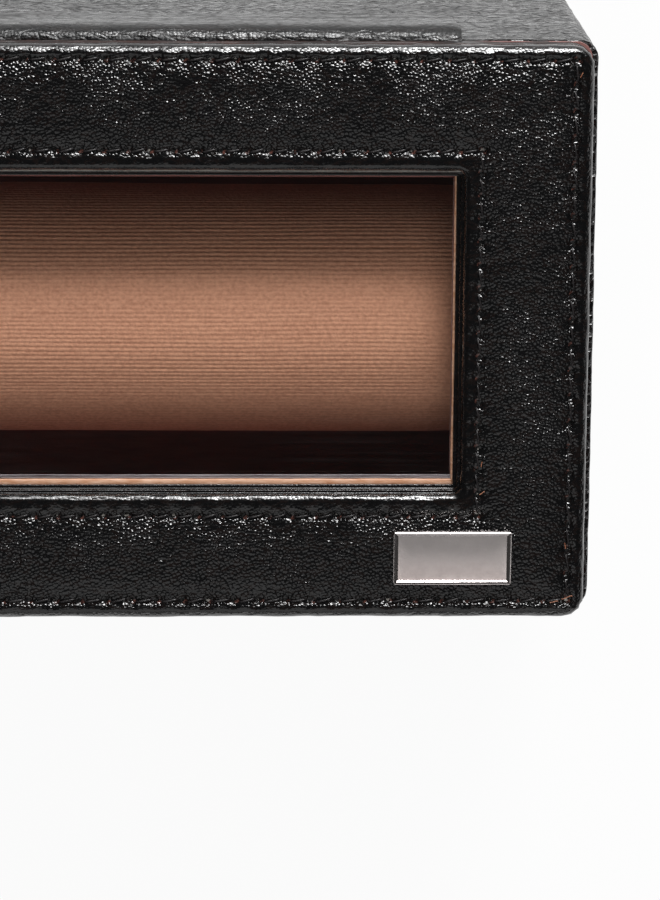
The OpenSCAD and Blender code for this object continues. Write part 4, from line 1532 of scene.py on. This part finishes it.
@dataclass
class Studio:
    """Pale floor, soft lamps and the camera, its angles in degrees and its lens in pixels."""

    tilt: float = 13.487
    swing: float = 2.181
    roll: float = 0.505
    aim: Point = (7.55, -22.43)
    distance: float = 881.2
    focal: float = 4501.0
    frame_height: float = 900.0
    sensor: float = 36.0
    origin: tuple[float, float, float] = (90.0, 0.0, 78.0)
    lamp_height: float = 29.6
    key_power: float = 7.3
    spark_power: float = 6.6
    fill_power: float = 7.6
    card_power: float = 3.1
    sky: float = 0.035
    backdrop: float = 0.94

    def floor(self) -> None:
        """A wide floor that is white to the eye and keeps the box's soft shadow."""
        plane = bpy.ops.mesh.primitive_plane_add
        obj = started("studio_floor", plane, size=8.0, location=(0, 0, -0.0002))
        g = Graph("studio_floor", Roughness=0.9)
        g.tree.nodes.remove(g.surface)
        share = g.rescale(g.cloud(3.0, 2.0), 0.3, 0.7, 0.0, 0.5)
        tone = g.blend(share, (0.86, 0.86, 0.86), (0.82, 0.82, 0.82))
        pale = g.add("BsdfDiffuse", {"Color": tone})
        glow = g.add("Emission", {"Color": (1.0, 1.0, 1.0), "Strength": 1.0})
        path = g.add("LightPath").outputs
        seen = g.calc("MAXIMUM", path["Is Camera Ray"], path["Is Glossy Ray"])
        seen = g.calc("MAXIMUM", seen, path["Is Transmission Ray"])
        g.show(g.layer(g.calc("MULTIPLY", seen, self.backdrop), pale, glow))
        obj.data.materials.append(g.material)

    def lamp(self, name: str, toward: Vector, distance: float, size: Point, power: float) -> Piece:
        """A soft rectangular lamp that faces the box.

        Args:
            name: its name.
            toward: the direction in which it stands, seen from the box.
            distance: how far off it is, in metres.
            size: its width and height, in metres.
            power: its power in watts.

        Returns:
            The lamp.
        """
        data = bpy.data.lights.new(name, "AREA")
        data.shape = "RECTANGLE"
        data.size, data.size_y = size
        data.energy = power
        lamp = bpy.data.objects.new(name, data)
        bpy.context.scene.collection.objects.link(lamp)
        lamp.location = Vector((0.05, 0, 0.06)) + toward.normalized() * distance
        lamp.rotation_euler = toward.to_track_quat("Z", "Y").to_euler()
        return lamp

    def world(self) -> None:
        """A dim room whose pale backdrop shows to the eye and low down in gloss."""
        world = bpy.data.worlds.new("room")
        bpy.context.scene.world = world
        world.use_nodes = True
        nodes, links = world.node_tree.nodes, world.node_tree.links
        back = nodes["Background"]
        back.inputs["Color"].default_value = (1.0, 1.0, 1.0, 1.0)
        way, apart = nodes.new("ShaderNodeTexCoord"), nodes.new("ShaderNodeSeparateXYZ")
        fade, path = nodes.new("ShaderNodeMapRange"), nodes.new("ShaderNodeLightPath")
        links.new(way.outputs["Generated"], apart.inputs[0])
        links.new(apart.outputs["Z"], fade.inputs["Value"])
        ends = {"From Min": 0.0, "From Max": 0.055, "To Min": self.backdrop, "To Max": self.sky}
        for socket, value in ends.items():
            fade.inputs[socket].default_value = value
        rays = {"Is Glossy Ray": fade.outputs[0], "Is Transmission Ray": self.backdrop, "Is Camera Ray": 1.0}
        last: Socket | float = self.sky
        for ray, strength in rays.items():
            pick = nodes.new("ShaderNodeMix")
            links.new(path.outputs[ray], pick.inputs[0])
            for socket, value in ((2, last), (3, strength)):
                if isinstance(value, float):
                    pick.inputs[socket].default_value = value
                else:
                    links.new(value, pick.inputs[socket])
            last = pick.outputs[0]
        links.new(last, back.inputs["Strength"])

    def camera(self) -> None:
        """A long lens above the lid, leaning a little towards the hinge."""
        e, p, r = (math.radians(a) for a in (self.tilt, self.swing, self.roll))
        back = Vector((-math.sin(p) * math.cos(e), math.sin(e), math.cos(p) * math.cos(e)))
        right = Vector((0, 1, 0)).cross(back).normalized()
        up = back.cross(right)
        x_axis = math.cos(r) * right + math.sin(r) * up
        y_axis = -math.sin(r) * right + math.cos(r) * up
        at = Vector(self.origin) + x_axis * self.aim[0] + y_axis * self.aim[1] + back * self.distance
        data = bpy.data.cameras.new("camera")
        data.sensor_fit = "VERTICAL"
        data.sensor_height = self.sensor
        data.lens = self.focal * self.sensor / self.frame_height
        data.clip_start, data.clip_end = 0.05, 20.0
        camera = bpy.data.objects.new("camera", data)
        bpy.context.scene.collection.objects.link(camera)
        turn = Matrix((x_axis, y_axis, back)).transposed().to_4x4()
        camera.matrix_world = Matrix.Translation(at * MM) @ turn
        bpy.context.scene.camera = camera

    def build(self) -> None:
        """Sets the whole studio up."""
        self.floor()
        self.world()
        self.camera()
        high = math.radians(self.lamp_height)
        toward = Vector((0.25, math.cos(high), math.sin(high)))
        self.lamp("key", toward, 1.1, (0.90, 0.38), self.key_power)
        self.lamp("key_core", toward, 1.09, (0.34, 0.24), self.spark_power)
        self.lamp("card", Vector((0.0, -0.77, 0.64)), 1.5, (1.6, 1.35), self.card_power)
        fill = self.lamp("fill", Vector((0.05, -0.40, 0.92)), 1.5, (0.9, 1.1), self.fill_power)
        fill.visible_glossy = False
        bpy.context.scene.view_settings.view_transform = "Standard"


def dress_nodes(finishes: dict[str, Material]) -> None:
    """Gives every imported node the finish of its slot.

    Args:
        finishes: the material for each slot of the record.
    """
    for part in frame["record"]["subparts"]:
        name, slot = part["node"], part["material_slot"]
        for holder in frame["nodes"][name].material_slots:
            holder.material = finishes[slot]
        log.info("%s keeps its shape and takes the %s finish", name, slot)


def main() -> None:
    """Builds every piece in order."""
    logging.basicConfig(level=logging.INFO, format="%(name)s: %(message)s")
    lid, trim, roll = LidCover(), WindowTrim(), WatchRoll()
    black = Leather("black_leather", rows=(lid.outer_row, lid.window_row)).make()
    case_look = {"stretch": (0.3, 1.0, 1.0), "turn": 4.0, "pebble": 1.2, "relief": 0.19, "coat": 0.3}
    case_black = Leather("case_leather", cracks=0.54, **case_look).make()
    hinge_look = {"stretch": (0.18, 1.0, 1.0), "turn": 0.0, "relief": 0.07, "rough": 0.25, "coat": 0.1}
    hinge_black = Leather("hinge_leather", cracks=0.06, **hinge_look).make()
    tan, lining, ribbed = TanLeather().make(), Lining().make(), RibbedCloth().make()
    nickel = Plated("badge_nickel", Metal.NICKEL).make()
    dress_nodes({
        "black_leather": case_black,
        "hinge_leather": hinge_black,
        "tan_leather": tan,
        "board": Board("grey_board", (0.34, 0.32, 0.29), (0.18, 0.17, 0.16)).make(),
        "brown_lining": lining,
        "ribbed_fabric": ribbed,
        "foam": Board("pale_foam", (0.72, 0.68, 0.58), (0.55, 0.50, 0.40), 1500.0).make(),
        "card_tube": Board("card_tube", (0.36, 0.25, 0.15), (0.22, 0.15, 0.09)).make(),
        "clear_pane": ClearSheet().make(),
        "badge_metal": nickel,
        "magnet_metal": Plated("magnet_steel", Metal.STEEL).make(),
    })
    black_thread = Thread("black_thread", (0.008, 0.007, 0.008), (0.022, 0.018, 0.018)).make()
    tan_thread = Thread("tan_thread", (0.24, 0.085, 0.045), (0.46, 0.21, 0.12)).make()
    brown_thread = Thread("brown_thread", (0.16, 0.07, 0.04), (0.30, 0.15, 0.09)).make()
    Studio().build()

    dress(lid.build(), black, "lid", "black_leather", "lid_leather")
    dress(lid.painted_edge(), EdgePaint().make(), "lid", "black_leather", "lid_leather")
    dress(lid.stitching(), black_thread, "lid", "black_leather")
    dress(lid.thread_ends(), tan_thread, "lid", "black_leather")
    dress(trim.liner(), tan, "lid", "tan_leather", "window_liner")
    dress(trim.edging(), Laminate().make(), "lid", "tan_leather", "window_liner")
    dress(Badge().build(), nickel, "lid", "badge_metal", "badge_plate")

    dress(CaseCover().build(), case_black, "case", "black_leather", "case_leather")
    leaves = ("hinge_leaf_case", "hinge_fold", "hinge_leaf_lid")
    strip = dress(HingeStrip().build(), hinge_black, None, "hinge_leather", *leaves)
    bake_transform(strip)

    padded = dress(roll.cover(), ribbed, "roll", "ribbed_fabric", "roll_cover")
    dress(roll.seam(), brown_thread, "roll", "ribbed_fabric")
    dress(roll.cap(-1), lining, "roll", "brown_lining", "roll_cap_left")
    dress(roll.cap(1), lining, "roll", "brown_lining", "roll_cap_right")


if __name__ == "__main__":
    main()
